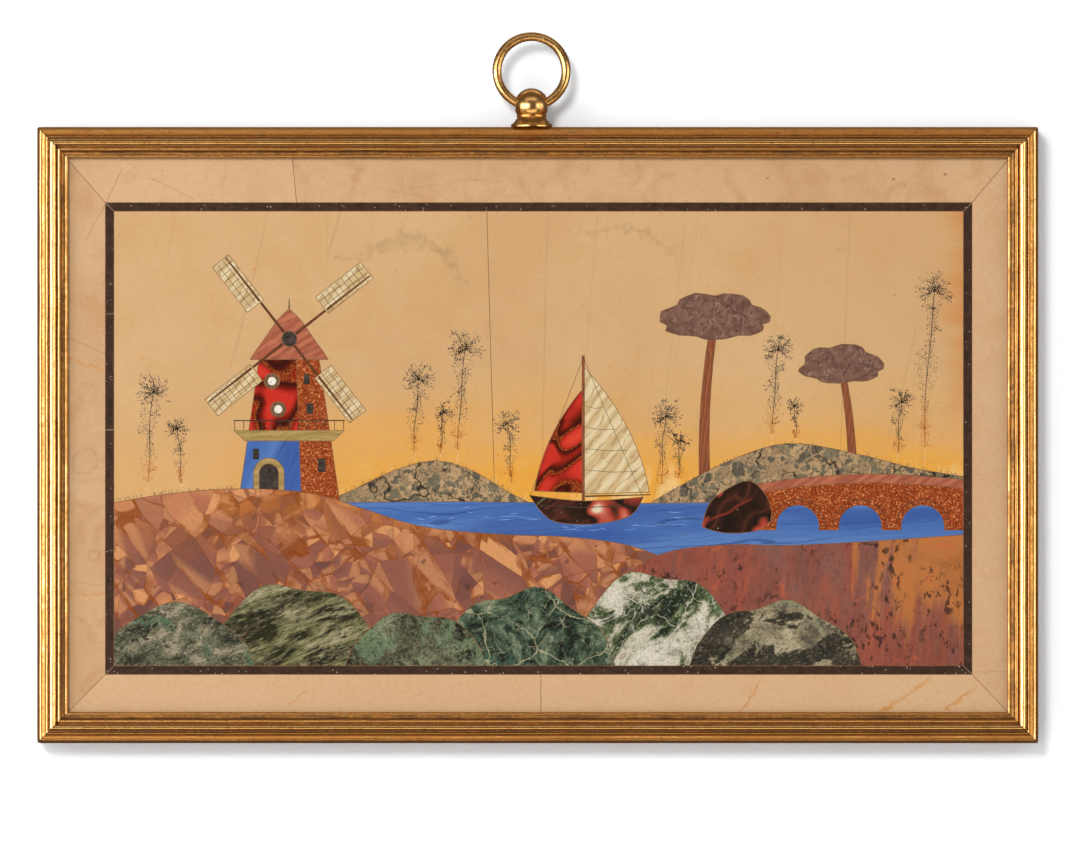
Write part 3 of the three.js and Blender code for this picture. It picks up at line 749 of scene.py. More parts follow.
def wearShadeMasks(vector, lane, groove, roughness):
    # the groove level carries dirt in the hollows and painted shade on chosen flanks; the higher it is, the
    # deeper and browner the gilt
    grimeShadeLevel = groove + (noiseOf(vector, 0.7, 4) - 0.5) * 0.6 + (noiseOf(vector, 0.07, 4) - 0.5) * 0.5
    grimeShadeLevel = grimeShadeLevel + (noiseOf(lane, 1.0, 5, 0.6) - 0.5) * 0.8
    brownGrimeShade = most(spread(grimeShadeLevel, 0.6, 1.05) * 0.92, specks(vector, 0.8, 0.22, 0.18) * 0.6)
    colour = layered(gilt, "gold", (clouds(vector, 0.12, 0.35, 0.65, 6), "pale"),
                     (spread(grimeShadeLevel, 0.12, 0.5), "deep"),
                     (clouds(vector, 0.4, 0.55, 0.66, 5, 0.5, 0.62) * 0.6, "worn"), (brownGrimeShade, "brown"))
    rough = roughness + (noiseOf(vector, 0.9, 3) - 0.5) * 0.25 + spread(grimeShadeLevel, 0.15, 0.55) * 0.3
    height = noiseOf(vector, 0.22, 3) + noiseOf(vector, 1.3, 2) * 0.16
    return colour, maths("ADD", rough, brownGrimeShade * 0.12, clamp=True), height


giltWear = makeGroup("giltWear", wearShadeMasks, ["colour", "roughness", "height"], vector=None, lane=None,
                     groove=0.0, roughness=0.2)


def giltMaterial(name, grooved):
    material, shader, place = newMaterial(name)
    if grooved:
        # the groove attribute holds dirt in the hollows and painted shade on chosen flanks
        groove, run, lane = (wire(place.tree, "Attribute", "Fac", {"attribute_name": key})
                             for key in ("groove", "run", "lane"))
        along, across = gilt["streak"]
        lane = wire(place.tree, "CombineXYZ", X=run * along, Y=lane * across)
        wearShade = useGroup(giltWear, place, lane=lane, groove=groove, roughness=gilt["roughness"])
    else:
        wearShade = useGroup(giltWear, place, lane=place, groove=gilt["turnedWear"], roughness=gilt["turnedRough"])
    shader.inputs["Metallic"].default_value = 1
    finishShader(shader, wearShade["colour"], wearShade, gilt["relief"], 0.0006)
    return material


giltMoulding = giltMaterial("gilt_moulding", True)
giltTurned = giltMaterial("gilt_turned", False)


# piece helpers
def addPiece(name, mesh, material, body="panel", sharp=None):
    piece = bpy.data.objects.new(name, mesh)
    bpy.context.scene.collection.objects.link(piece)
    mesh.materials.clear()
    mesh.materials.append(material)
    if sharp is not None:
        mesh.polygons.foreach_set("use_smooth", [True] * len(mesh.polygons))
        mesh.set_sharp_from_angle(angle=math.radians(sharp))
    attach(piece, body)
    return piece


def meshFrom(name, verts, faces):
    mesh = bpy.data.meshes.new(name)
    mesh.from_pydata([Vector(v) * mm for v in verts], [], faces)
    mesh.validate()
    builder = bmesh.new()
    builder.from_mesh(mesh)
    bmesh.ops.recalc_face_normals(builder, faces=builder.faces)
    builder.to_mesh(mesh)
    builder.free()
    return mesh


def tubeFaces(rings, size, closed=False):
    # quads between rings of size points each
    faces = []
    for i in range(rings if closed else rings - 1):
        here, there = i * size, (i + 1) % rings * size
        for j in range(size):
            k = (j + 1) % size
            faces.append([here + j, here + k, there + k, there + j])
    return faces


def tubeEnds(rings, size):
    return [list(range(size)), list(range((rings - 1) * size, rings * size))]


def onCircle(i, count, radius):
    angle = 2 * math.pi * i / count
    return radius * math.cos(angle), radius * math.sin(angle)


def curve(start, pull, end, steps):
    # points from start to end, drawn towards pull
    for i in range(steps + 1):
        t = i / steps
        yield tuple(a * (1 - t) ** 2 + b * 2 * t * (1 - t) + c * t ** 2 for a, b, c in zip(start, pull, end))


def carved(mesh, tools):
    # what is left of the mesh outside the tools' meshes
    scene = bpy.context.scene.collection
    block, cutters = bpy.data.objects.new("block", mesh), bpy.data.collections.new("cutters")
    scene.objects.link(block)
    scene.children.link(cutters)
    for tool in tools:
        cutters.objects.link(bpy.data.objects.new("cutter", tool))
    cut = block.modifiers.new("cut", "BOOLEAN")
    cut.operation, cut.solver, cut.operand_type = "DIFFERENCE", "EXACT", "COLLECTION"
    cut.collection = cutters
    bpy.context.view_layer.update()
    result = bpy.data.meshes.new_from_object(block.evaluated_get(bpy.context.evaluated_depsgraph_get()))
    for item in [block, *cutters.objects]:
        bpy.data.objects.remove(item)
    bpy.data.collections.remove(cutters)
    return result


# frame: four mitred lengths of reeded moulding (inward from the outer edge, forward of the back)
moulding = {
    "width": 10, "wall": 4.5, "arris": 9.6, "lip": 10.5, "gap": 0.2, "wallSteps": (0, 3, 6, 8.5, 9.6),
    "edgeBead": (1.2, 10.85, 0.38), "smallBead": (3.28, 11.6, 0.28), "mainBead": (5.15, 12.85, 1.15),
    "innerBead": (7.25, 12.5, 0.6), "sightBead": (9.45, 11.75, 0.45),
    "outerGroove": 11.35, "innerGroove": 12.25, "point": 1.15, "stations": 150, "seed": 41, "sharp": 38,
    "waves": 8, "waveSpeed": (0.05, 0.3), "sway": 0.035,
    "dents": 26, "dentAlong": 0.47, "dentAcross": (1, 9.5), "dentReach": (0.6, 2.2), "dentDepth": 0.06,
    "dentWide": 0.8, "loosen": 1.2, "calm": 8,  # the back and the mitres stay true
}


def mouldingProfile():
    m = moulding
    points = [(0, forward, 0.5) for forward in m["wallSteps"]]  # inward, forward, how much dirt and painted shade it holds

    # lean darkens the flank that faces inward: painted shade
    def bead(shape, steps, crest, point=1.0, side=0.7, lean=0.0):
        inward, forward, radius = shape
        for i in range(steps + 1):
            angle = math.pi - math.pi * i / steps
            across = math.copysign(abs(math.cos(angle)) ** point, math.cos(angle))
            points.append((inward + radius * across, forward + radius * max(0, math.sin(angle)) ** point,
                           crest + side * (1 - math.sin(angle)) + lean * max(0, math.cos(angle))))

    def hollow(before, after, share, steps, startGrimeShade, endGrimeShade):
        startX, endX = before[0] + before[2], after[0] - after[2]
        pull = startX + (endX - startX) * share, min(before[1], after[1]), (startGrimeShade + endGrimeShade) / 2
        points.extend(list(curve((startX, before[1], startGrimeShade), pull, (endX, after[1], endGrimeShade), steps))[1:-1])

    def groove(before, after, clear, depth):
        points.extend((x, depth, 1.0) for x in (before[0] + before[2] + clear, after[0] - after[2]))

    bead(m["edgeBead"], 8, -0.1)
    # the outer hollow darkens towards the small bead: painted shade
    hollow(m["edgeBead"], m["smallBead"], 0.6, 6, 0.26, 0.85)
    bead(m["smallBead"], 8, 0.1)
    groove(m["smallBead"], m["mainBead"], 0.1, m["outerGroove"])
    bead(m["mainBead"], 22, 0.0, m["point"], 0.35)
    groove(m["mainBead"], m["innerBead"], 0.05, m["innerGroove"])
    # the inner bead's inward flank is darkened by lean: painted shade
    bead(m["innerBead"], 12, 0.15, lean=0.9)
    hollow(m["innerBead"], m["sightBead"], 0.15, 7, 0.85, 0.85)
    bead(m["sightBead"], 10, 0.3)
    points.append((m["width"], m["sightBead"][1] - m["sightBead"][2] / 3, 0.6))
    return points + [(m["width"], m["lip"], 0.9), (m["wall"], m["lip"], 0.5), (m["wall"], 0, 0.5)]


def buildMoulding(name, length, outward, turn, draws):
    m = moulding
    profile, count = mouldingProfile(), m["stations"]
    waves = [(draws.uniform(*m["waveSpeed"]), draws.uniform(0, 6.28), draws.choice((0, 1)))
             for i in range(m["waves"])]
    dents = [(draws.uniform(-m["dentAlong"], m["dentAlong"]) * length, draws.uniform(*m["dentAcross"]),
              draws.uniform(*m["dentReach"]), draws.uniform(0.3, 1) * m["dentDepth"])
             for i in range(m["dents"])]
    spin = Matrix.Rotation(turn, 2)
    # groove: the dirt and painted shade of each point of the profile
    verts, marks = [], {"groove": [], "run": [], "lane": []}
    start = draws.uniform(0, 900)
    for i in range(count + 1):
        share = i / count
        calm = min(1, m["calm"] * min(share, 1 - share))
        for inward, forward, groove in profile:
            half = length / 2 - inward - m["gap"] * math.sqrt(0.5)
            along = half * (2 * share - 1)
            loose = calm * min(1, max(0, (forward - m["arris"]) / m["loosen"]))
            if inward >= m["width"] or forward <= m["lip"]:
                loose = 0
            push = [0, 0]  # inward, forward
            for speed, phase, which in waves:
                push[which] += m["sway"] * 0.5 * math.sin(speed * along + phase)
            for place, across, reach, depth in dents:
                gap = ((along - place) / reach) ** 2 + ((inward - across) / m["dentWide"]) ** 2
                if gap < 6:
                    push[1] -= depth * math.exp(-gap)
            flat = spin @ Vector((along, outward - inward - loose * push[0]))
            verts.append((flat.x, -(forward + loose * push[1]), flat.y))
            for key, value in zip(marks, (groove, start + along, inward + forward)):
                marks[key].append(value)
    rings, size = count + 1, len(profile)
    mesh = meshFrom(name, verts, tubeFaces(rings, size) + tubeEnds(rings, size))
    for key, values in marks.items():
        mesh.attributes.new(key, "FLOAT", "POINT").data.foreach_set("value", values)
    piece = addPiece(name + "_moulding", mesh, giltMoulding, sharp=m["sharp"])
    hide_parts(name)


draws = random.Random(moulding["seed"])
for name, length, outward, turn in (
        ("frame_top_rail", panel["width"], panel["height"] / 2, 0),
        ("frame_left_stile", panel["height"], panel["width"] / 2, math.pi / 2),
        ("frame_bottom_rail", panel["width"], panel["height"] / 2, math.pi),
        ("frame_right_stile", panel["height"], panel["width"] / 2, -math.pi / 2)):
    buildMoulding(name, length, outward, turn, draws)
print("frame built")

# boss and ring: radius and height above the frame
hanger = {
    "at": (-2, -7, 98.6),
    "foot": ((6.6, 0), (6.6, 0.3), (6.6, 0.6), (6.48, 0.85), (6.2, 1.05)),
    "flare": ((6.05, 1.05), (5.4, 1.55), (4.5, 3.1)),  # start, pull and end of the curve
    "collar": ((4.73, 3.16), (4.85, 3.3), (4.85, 3.55), (4.77, 3.65)),
    "ballRadius": 5.5, "ballHeight": 6.9, "ballFrom": 3.8, "ballSteps": 26, "turns": 112, "bossSharp": 32,
    "boreRadius": 2.4, "boreHeight": 7.5, "boreReach": 12, "boreSides": 64,
    "ringRadius": 11.05, "wireRadius": 1.45, "ringHeight": 17.9, "around": 176, "section": 36,
    "ringSharp": 60, "uneven": ((0.02, 3, 0.6), (0.012, 7, 0)),  # waves in the wire: height, count, phase
}


def bossProfile():
    h = hanger
    points = [*h["foot"], *curve(*h["flare"], 12), *h["collar"]]
    radius = h["ballRadius"]
    low = math.asin((h["ballFrom"] - h["ballHeight"]) / radius)
    for i in range(h["ballSteps"]):
        angle = low + (math.pi / 2 - low) * i / h["ballSteps"]
        points.append((radius * math.cos(angle), h["ballHeight"] + radius * math.sin(angle)))
    return points


def buildBoss():
    h = hanger
    profile, count, sides = bossProfile(), h["turns"], h["boreSides"]
    verts = [(*onCircle(i, count, radius), height) for radius, height in profile for i in range(count)]
    top, last = len(verts), len(verts) - count
    verts.append((0, 0, h["ballHeight"] + h["ballRadius"]))
    faces = tubeFaces(len(profile), count)
    faces += [[last + i, last + (i + 1) % count, top] for i in range(count)]
    faces.append(list(range(count))[::-1])
    bore = []
    for end in (-h["boreReach"], h["boreReach"]):
        for i in range(sides):
            y, z = onCircle(i, sides, h["boreRadius"])
            bore.append((end, y, h["boreHeight"] + z))
    drill = meshFrom("drill", bore, tubeFaces(2, sides) + tubeEnds(2, sides))
    mesh = carved(meshFrom("turned", verts, faces), [drill])
    mesh.transform(Matrix.Translation(Vector(h["at"]) * mm))
    piece = addPiece("ring_boss_turned", mesh, giltTurned, sharp=h["bossSharp"])
    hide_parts("ring_boss")


def buildRing():
    h = hanger
    x, y, z = h["at"]
    verts = []
    for i in range(h["around"]):
        angle = 2 * math.pi * i / h["around"]
        wave = sum(size * math.sin(count * angle + phase) for size, count, phase in h["uneven"])
        thick = h["wireRadius"] + wave
        for j in range(h["section"]):
            across, forward = onCircle(j, h["section"], thick)
            reachX, reachZ = onCircle(i, h["around"], h["ringRadius"] + across)
            verts.append((x + reachX, y + forward, z + h["ringHeight"] + reachZ))
    mesh = meshFrom("hanging_ring_wire", verts, tubeFaces(h["around"], h["section"], closed=True))
    piece = addPiece("hanging_ring_wire", mesh, giltTurned, body="ring", sharp=h["ringSharp"])
    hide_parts("hanging_ring")


buildBoss()
buildRing()
print("boss and ring built")


# lines and marks let into the stones, flush with the polish: (x, z) in mm
marks = {"proud": 0.012, "sunk": 0.12, "chip": ((-0.5, 0), (0.12, 0.5), (0.5, 0), (0.12, -0.5))}


class MarkSheet:
    def __init__(self):
        self.verts, self.faces = [], []

    def prism(self, outline):
        start, count = len(self.verts), len(outline)
        for depth in (panel["face"] + marks["proud"], panel["face"] - marks["sunk"]):
            self.verts += [(x, -depth, z) for x, z in outline]
        self.faces.append([start + i for i in range(count)])
        self.faces.append([start + count + i for i in reversed(range(count))])
        for i in range(count):
            j = (i + 1) % count
            self.faces.append([start + i, start + count + i, start + count + j, start + j])

    def stroke(self, line, widths):
        if isinstance(widths, (int, float)):
            widths = [widths] * len(line)
        sides = ([], [])
        for i, (x, z) in enumerate(line):
            before, after = line[max(i - 1, 0)], line[min(i + 1, len(line) - 1)]
            heading = Vector((after[0] - before[0], after[1] - before[1])).normalized()
            for side, sign in zip(sides, (0.5, -0.5)):
                side.append((x - heading.y * widths[i] * sign, z + heading.x * widths[i] * sign))
        self.prism(sides[0] + sides[1][::-1])

    def chip(self, x, z, length, width, angle):
        c, s = math.cos(angle), math.sin(angle)
        self.prism([(x + a * length * c - b * width * s, z + a * length * s + b * width * c)
                    for a, b in marks["chip"]])

    def build(self, name, material, slot):
        return addPiece(name, meshFrom(name, self.verts, self.faces), material)


def onSheet(u, v):
    # from the lower left corner of the picture
    return panel["left"] + u, panel["bottom"] + v


# a dark and a light tone for the drawn lines, the mineral growths and the joints
inkTones = {
    "ink": palette(dark=(46, 40, 34), light=(84, 70, 56)),
    "growth": palette(dark=(56, 53, 52), light=(108, 98, 88)),
    "rustGrowth": palette(dark=(188, 96, 36), light=(214, 138, 70)),
    "whiteGrowth": palette(dark=(238, 214, 170), light=(226, 190, 132)),
    "cement": palette(dark=(104, 72, 48), light=(152, 106, 70)),
    "glue": palette(dark=(168, 142, 116), light=(128, 100, 78)),
    "ripple": palette(dark=(150, 186, 228), light=(96, 142, 210)),
    "spar": palette(dark=(112, 66, 40), light=(84, 48, 32)),
}


def paintInk(place, stone):
    return layered(stone, "dark", (clouds(place, 0.35, 0.35, 0.65, 5), "light"),
                   (clouds(place, 1.6, 0.5, 0.7, 4) * 0.4, "light"))


inkFinish = {key: stoneMaterial(key + "_mark", paintInk, 0.18, 0.02, stone=tones)
             for key, tones in inkTones.items()}

# mill, boat and bridge, in sheet millimetres
millLines = {
    "hub": (56, 104.5), "tilt": 38, "vanes": 4, "root": 2.7, "from": 15, "to": 33, "low": -1.0, "high": 5.0,
    "sparWidth": 0.75, "sparTaper": (1.3, 0.6), "lattice": 0.16, "rungs": 9, "rails": (1.35, 3.45),
    "railInset": 0.3, "gallery": (56, 75.2, 17.4), "post": 0.22, "posts": 13, "handRail": 0.352,
    "railHeight": 3.2, "railOver": 0.4, "peak": 114, "finial": (3.4, (0.5, 0.2)), "clear": 0.2,
    "windows": ((61.6, 90, 1.9, 3.2), (62.6, 80.5, 2.1, 3.4), (66.4, 62, 2.4, 4.2), (45.4, 66, 2.0, 3.4)),
}
boatLines = {
    "bow": (133, 54.4), "mast": 150, "masthead": 98.6, "stern": (169, 53.8), "rope": 0.14, "sag": 0.3,
    "boom": (0.5, 0.3), "boomLine": ((0.6, 54.2), (21.5, 54.7)),  # from the mast
    "seams": 5, "seamFoot": 55.8, "seamRise": 34, "seamReach": 20, "seamTaper": 0.72, "seamGap": 0.7,
    "seamMiddle": 0.6, "seamSag": (0.7, 0.5),                     # sag of the middle and the end
    "plank": ((136.2, 51.3), (150, 50.6), (166.6, 51.2)), "plankWidth": 0.28,
    "ripples": 26, "seed": 12, "water": ((95, 196), (44.5, 51.2)), "underHull": (43.2, 44.8), "hullFrom": 45,
    "hullClear": (2, 1), "rippleLength": (2, 7), "rippleWave": (0.18, 5),  # height and bend
    "rippleWidths": (0.05, 0.16, 0.2, 0.16, 0.05),
}
bridgeLines = {"arches": (218.5, 238.5, 258.5), "spring": 44.5, "radius": 7, "ring": 1.7, "blocks": 11,
               "line": 0.15, "steps": 24, "clear": 0.1}


def drawMill():
    m = millLines
    spars, lattice, posts, windows = MarkSheet(), MarkSheet(), MarkSheet(), MarkSheet()
    clear, spar = m["clear"], m["sparWidth"]
    root, tip = (spar * share for share in m["sparTaper"])
    for i in range(m["vanes"]):
        angle = math.radians(m["tilt"] + i * 360 / m["vanes"])
        c, s = math.cos(angle), math.sin(angle)

        def arm(along, across):
            return onSheet(m["hub"][0] + along * c - across * s, m["hub"][1] + along * s + across * c)

        spars.stroke([arm(m["root"], 0), arm(m["from"] - m["railInset"], 0)], [root, spar])
        spars.stroke([arm(m["from"] + clear, 0), arm(m["to"] - clear, 0)], [spar, tip])
        for j in range(1, m["rungs"]):
            along = m["from"] + (m["to"] - m["from"]) * j / m["rungs"]
            lattice.stroke([arm(along, m["low"]), arm(along, -spar / 2)], m["lattice"])
            lattice.stroke([arm(along, spar / 2), arm(along, m["high"])], m["lattice"])
        for across in m["rails"]:
            lattice.stroke([arm(m["from"] + m["railInset"], across), arm(m["to"] - m["railInset"], across)],
                           m["lattice"])
    u, v, half = m["gallery"]
    gaps = m["posts"] - 1
    for i in range(m["posts"]):
        x, z = onSheet(u - half + 2 * half * i / gaps, v)
        posts.stroke([(x, z + clear), (x, z + m["railHeight"])], m["post"])
    rail = [onSheet(u + side * (half + m["railOver"]), v + m["railHeight"]) for side in (-1, 1)]
    posts.stroke(rail, m["handRail"])
    x, z = onSheet(m["hub"][0], m["peak"])
    tall, widths = m["finial"]
    posts.stroke([(x, z + clear), (x, z + tall)], widths)
    for u, v, wide, tall in m["windows"]:
        x, z = onSheet(u, v)
        left, right = x - wide / 2, x + wide / 2
        windows.prism([(left, z), (right, z), (right, z + tall), (left, z + tall)])
    spars.build("mill_spars", inkFinish["spar"], "trunk_stone")
    lattice.build("mill_lattice", inkFinish["spar"], "trunk_stone")
    posts.build("mill_railing", inkFinish["ink"], "night_stone")
    windows.build("mill_windows", stoneFinishes["night_stone"], "night_stone")


def drawBoat():
    b = boatLines
    ropes, water = MarkSheet(), MarkSheet()
    head = onSheet(b["mast"], b["masthead"])
    for end in (b["bow"], b["stern"]):
        x, z = onSheet(*end)
        ropes.stroke([head, (head[0] * 0.5 + x * 0.5, head[1] * 0.5 + z * 0.5 - b["sag"]), (x, z)], b["rope"])
    ropes.stroke([onSheet(b["mast"] + u, v) for u, v in b["boomLine"]], b["boom"])
    middleSag, endSag = b["seamSag"]
    for i in range(1, b["seams"]):
        share = i / b["seams"]
        v = b["seamFoot"] + b["seamRise"] * share
        reach = b["seamReach"] * (1 - share) ** b["seamTaper"]
        ropes.stroke([onSheet(b["mast"] + b["seamGap"], v),
                      onSheet(b["mast"] + b["seamMiddle"] + reach / 2, v - middleSag),
                      onSheet(b["mast"] + reach, v - endSag)], b["rope"])
    ropes.stroke([onSheet(u, v) for u, v in b["plank"]], b["plankWidth"])
    draws = random.Random(b["seed"])
    before, after = b["hullClear"]
    rise, bend = b["rippleWave"]
    steps = len(b["rippleWidths"]) - 1
    shares = [i / steps for i in range(steps + 1)]
    for i in range(b["ripples"]):
        u, v = (draws.uniform(*limits) for limits in b["water"])
        if b["bow"][0] - before < u < b["stern"][0] + after and v > b["hullFrom"]:
            v = draws.uniform(*b["underHull"])
        length = draws.uniform(*b["rippleLength"])
        water.stroke([onSheet(u + length * t, v + rise * math.sin(t * bend + i)) for t in shares],
                     b["rippleWidths"])
    ropes.build("boat_rigging", inkFinish["ink"], "night_stone")
    water.build("lake_ripples", inkFinish["ripple"], "blue_glass")


def drawBridge():
    b = bridgeLines
    sheet, inner, outer = MarkSheet(), b["radius"] + b["clear"], b["radius"] + b["ring"]
    for at in b["arches"]:
        def onArch(i, steps, radius):
            angle = math.pi * i / steps
            return onSheet(at + radius * math.cos(angle), b["spring"] + radius * math.sin(angle))

        sheet.stroke([onArch(i, b["steps"], outer) for i in range(b["steps"] + 1)], b["line"])
        for i in range(b["blocks"] + 1):
            sheet.stroke([onArch(i, b["blocks"], radius) for radius in (inner, outer)], b["line"])
    sheet.build("bridge_blocks", inkFinish["ink"], "night_stone")


drawMill()
drawBoat()
drawBridge()

# tree-shaped mineral growths in the sky stone
growths = {
    # foot, height, lean and reach of the crown
    "trees": ((11, 55.5, 33, 1.5, 5.4), (21.5, 56.4, 20, -1.2, 3.8), (96, 65.6, 27, 1.6, 5.0),
              (104.5, 66.6, 15, 0.8, 3.2), (110, 65.2, 37, 2.6, 5.6), (127, 56.1, 22, -1.2, 4.2),
              (175, 55.5, 25, 1.4, 4.6), (180.5, 58.4, 14, 0.6, 3.0), (210.5, 70.9, 31, 2.0, 5.0),
              (218, 71.6, 12, -0.6, 2.8), (250.5, 66, 19, 1.2, 4.0), (259, 64, 57, 3.6, 6.0)),
    "crests": (((0, 52.6), (18, 55.2), (38, 56.6)),
               ((74, 55.4), (90, 62.8), (103, 65.7), (115, 62.2), (134, 51.6)),
               ((171, 51.9), (182, 58.2), (198, 66.2), (216, 71.2), (238, 67.7), (256, 63.2), (271, 60.4))),
    "blades": 190, "bladeLength": (0.5, 1.7), "bladeWidth": (0.08, 0.2), "bladeRise": 0.4, "bladeTilt": 0.35,
    "seed": 7, "whiteTo": 0.1, "rustTo": 0.34, "rustEnds": (0.75, 1.15),   # shares of the height
    "stem": 0.17, "stemPoints": 10, "stemWave": (0.25, 9), "stemStep": 0.42, "stemFill": (0.75, 0.25),
    "stemLength": (0.4, 0.9), "stemWidth": (0.14, 0.26), "stemShift": 0.12, "stemTilt": 0.3,
    # a sleeve of flecks, thickest beside the stem
    "bare": 0.1, "swell": (13, 1.4), "sleeveWide": (0.24, 0.42), "sleeveOpen": (0.6, 0.45),
    "sleeve": (3, 4, 4, 5), "sleeveCrowd": 1.25, "sleeveGap": 0.08, "sleeveRise": (0.1, 0.7),
    "sleeveFleck": (0.2, 0.5), "sleeveGrow": 0.14, "sleeveSlim": (0.3, 0.5), "sleeveTilt": (0.4, 1.2),
    # bursts of rays, each a row of flecks
    "burst": (-0.75, math.pi + 0.75), "lowBurst": (0.1, math.pi - 0.1),    # angles of the rays
    "rayStep": 0.62, "rayFill": 0.64, "rayStart": 0.6, "rayReach": (0.5, 1.0), "rayBend": 0.09,
    "fleck": (0.26, 0.66), "fleckGrow": 0.34, "fleckSlim": (0.28, 0.52), "fleckTilt": 0.25,
    "tufts": ((0.88, -1), (0.76, 1), (0.6, -1)),                           # place on the stem and side
    "tuftReach": (0.35, 0.55), "tuftSide": 0.3, "tuftRays": (5, 2), "rustTuft": 0.6,
    "crowns": ((1.15, 20, 9), (0.5, 10, 4)), "crownDrop": 0.2,             # reach, rays and more with reach
    "loose": (0, 1, 2, 2), "looseSide": 0.8, "looseRise": (0.3, 0.9), "looseReach": 0.3, "looseRays": 9,
}


def growBurst(draws, sheet, x, z, reach, rays, angles=growths["burst"]):
    g = growths
    for i in range(int(rays)):
        angle = draws.uniform(*angles)
        far = reach * draws.uniform(*g["rayReach"])
        steps = max(2, int(far / g["rayStep"]))
        for j in range(steps):
            if draws.random() < g["rayFill"]:
                r = far * (j + g["rayStart"]) / steps
                bend = angle + draws.gauss(0, g["rayBend"])
                size = draws.uniform(*g["fleck"]) + g["fleckGrow"] * r / reach
                slim = size * draws.uniform(*g["fleckSlim"])
                sheet.chip(x + r * math.cos(bend), z + r * math.sin(bend), size, slim,
                           bend + draws.gauss(0, g["fleckTilt"]))


def growSleeve(draws, inkAt, t, x, z, wide):
    g = growths
    for side in (-1, 1):
        for i in range(draws.choice(g["sleeve"])):
            far = wide * draws.random() ** g["sleeveCrowd"]
            size = draws.uniform(*g["sleeveFleck"]) + g["sleeveGrow"] * far / wide
            inkAt(t).chip(x + side * (g["sleeveGap"] + far), z + far * draws.uniform(*g["sleeveRise"]), size,
                          size * draws.uniform(*g["sleeveSlim"]),
                          math.pi / 2 - side * draws.uniform(*g["sleeveTilt"]))


def growTree(draws, dark, rust, white, foot, height, lean, reach):
    g = growths
    wave, waves = g["stemWave"]
    bumps, power = g["swell"]

    def risen(key, share):
        # a size and what it gains
        size, gain = g[key]
        return size + gain * share

    def stem(t):
        return onSheet(foot[0] + lean * t * t + wave * math.sin(waves * t + foot[0]), foot[1] + height * t)

    def inkAt(t):
        if t < g["whiteTo"]:
            return white
        return rust if t < g["rustTo"] * draws.uniform(*g["rustEnds"]) else dark

    shares = [i / g["stemPoints"] for i in range(g["stemPoints"] + 1)]
    for ink, low, high in ((rust, g["whiteTo"], g["rustTo"]), (dark, g["rustTo"], 1)):
        ink.stroke([stem(low + (high - low) * share) for share in shares], g["stem"])
    steps = int(height / g["stemStep"])
    for i in range(steps):
        t = i / steps
        x, z = stem(t)
        if draws.random() < risen("stemFill", t):
            inkAt(t).chip(x + draws.gauss(0, g["stemShift"]), z, draws.uniform(*g["stemLength"]),
                          draws.uniform(*g["stemWidth"]), math.pi / 2 + draws.gauss(0, g["stemTilt"]))
        if t < g["whiteTo"] or draws.random() < g["bare"]:
            continue
        swell = (0.5 + 0.5 * math.sin(bumps * t + foot[0])) ** power
        growSleeve(draws, inkAt, t, x, z, reach * risen("sleeveWide", swell) * risen("sleeveOpen", t))
    rays = risen("tuftRays", reach)
    growBurst(draws, rust, *stem(g["rustTo"] * g["rustTuft"]), reach * g["rustTuft"], rays, g["lowBurst"])
    for t, side in g["tufts"]:
        x, z = stem(t)
        growBurst(draws, dark, x + side * reach * g["tuftSide"], z,
                  reach * draws.uniform(*g["tuftReach"]), rays)
    x, z = stem(1)
    for share, few, more in g["crowns"]:
        growBurst(draws, dark, x, z - reach * g["crownDrop"], reach * share, few + more * reach)
    for i in range(draws.choice(g["loose"])):  # tufts above the crown
        growBurst(draws, dark, x + draws.uniform(-1, 1) * reach * g["looseSide"],
                  z + reach * draws.uniform(*g["looseRise"]), reach * g["looseReach"], g["looseRays"])


def growAlongCrest(draws, dark, crest, count):
    g = growths
    for i in range(count):
        k = draws.randrange(len(crest) - 1)
        t = draws.random()
        u, v = (a * (1 - t) + b * t for a, b in zip(crest[k], crest[k + 1]))
        length = draws.uniform(*g["bladeLength"])
        x, z = onSheet(u, v + length * g["bladeRise"])
        dark.chip(x, z, length, draws.uniform(*g["bladeWidth"]), math.pi / 2 + draws.gauss(0, g["bladeTilt"]))


def buildGrowths():
    draws = random.Random(growths["seed"])
    dark, rust, white = MarkSheet(), MarkSheet(), MarkSheet()
    for u, v, height, lean, reach in growths["trees"]:
        growTree(draws, dark, rust, white, (u, v), height, lean, reach)
    for crest in growths["crests"]:
        growAlongCrest(draws, dark, crest, growths["blades"] // len(growths["crests"]))
    dark.build("sky_growths_dark", inkFinish["growth"], "sky_limestone")
    rust.build("sky_growths_rust", inkFinish["rustGrowth"], "sky_limestone")
    white.build("sky_growths_white", inkFinish["whiteGrowth"], "sky_limestone")


buildGrowths()

# pale glue lines across the fillet, at its mitres and two butt joints
filletLines = {"left": -138.2, "right": 138.8, "bottom": -76.5, "top": 74.3, "width": 2.75,
               "line": (0.22, 0.154), "butts": (38.7, 1.6), "buttLean": 0.1, "outset": 0.15, "inset": 0.1}


def drawFilletLines():
    f = filletLines
    glue = MarkSheet()
    ends = f["outset"], f["width"] - f["inset"]
    for x, inX in ((f["left"], 1), (f["right"], -1)):
        for z, inZ in ((f["bottom"], 1), (f["top"], -1)):
            glue.stroke([(x + inX * end, z + inZ * end) for end in ends], f["line"])
    for z in f["butts"]:
        glue.stroke([(f["left"] + f["outset"], z),
                     (f["left"] + f["width"] - f["outset"], z + f["buttLean"])], f["line"][0])
    glue.build("fillet_glue", inkFinish["glue"], "border_marble")


drawFilletLines()
print("marks drawn")

# brown cement in the joints, a hair below the polish
joints = {"below": 0.03, "thick": 0.5, "halfWidth": 149.8, "halfHeight": 88.3, "frontOf": 8}


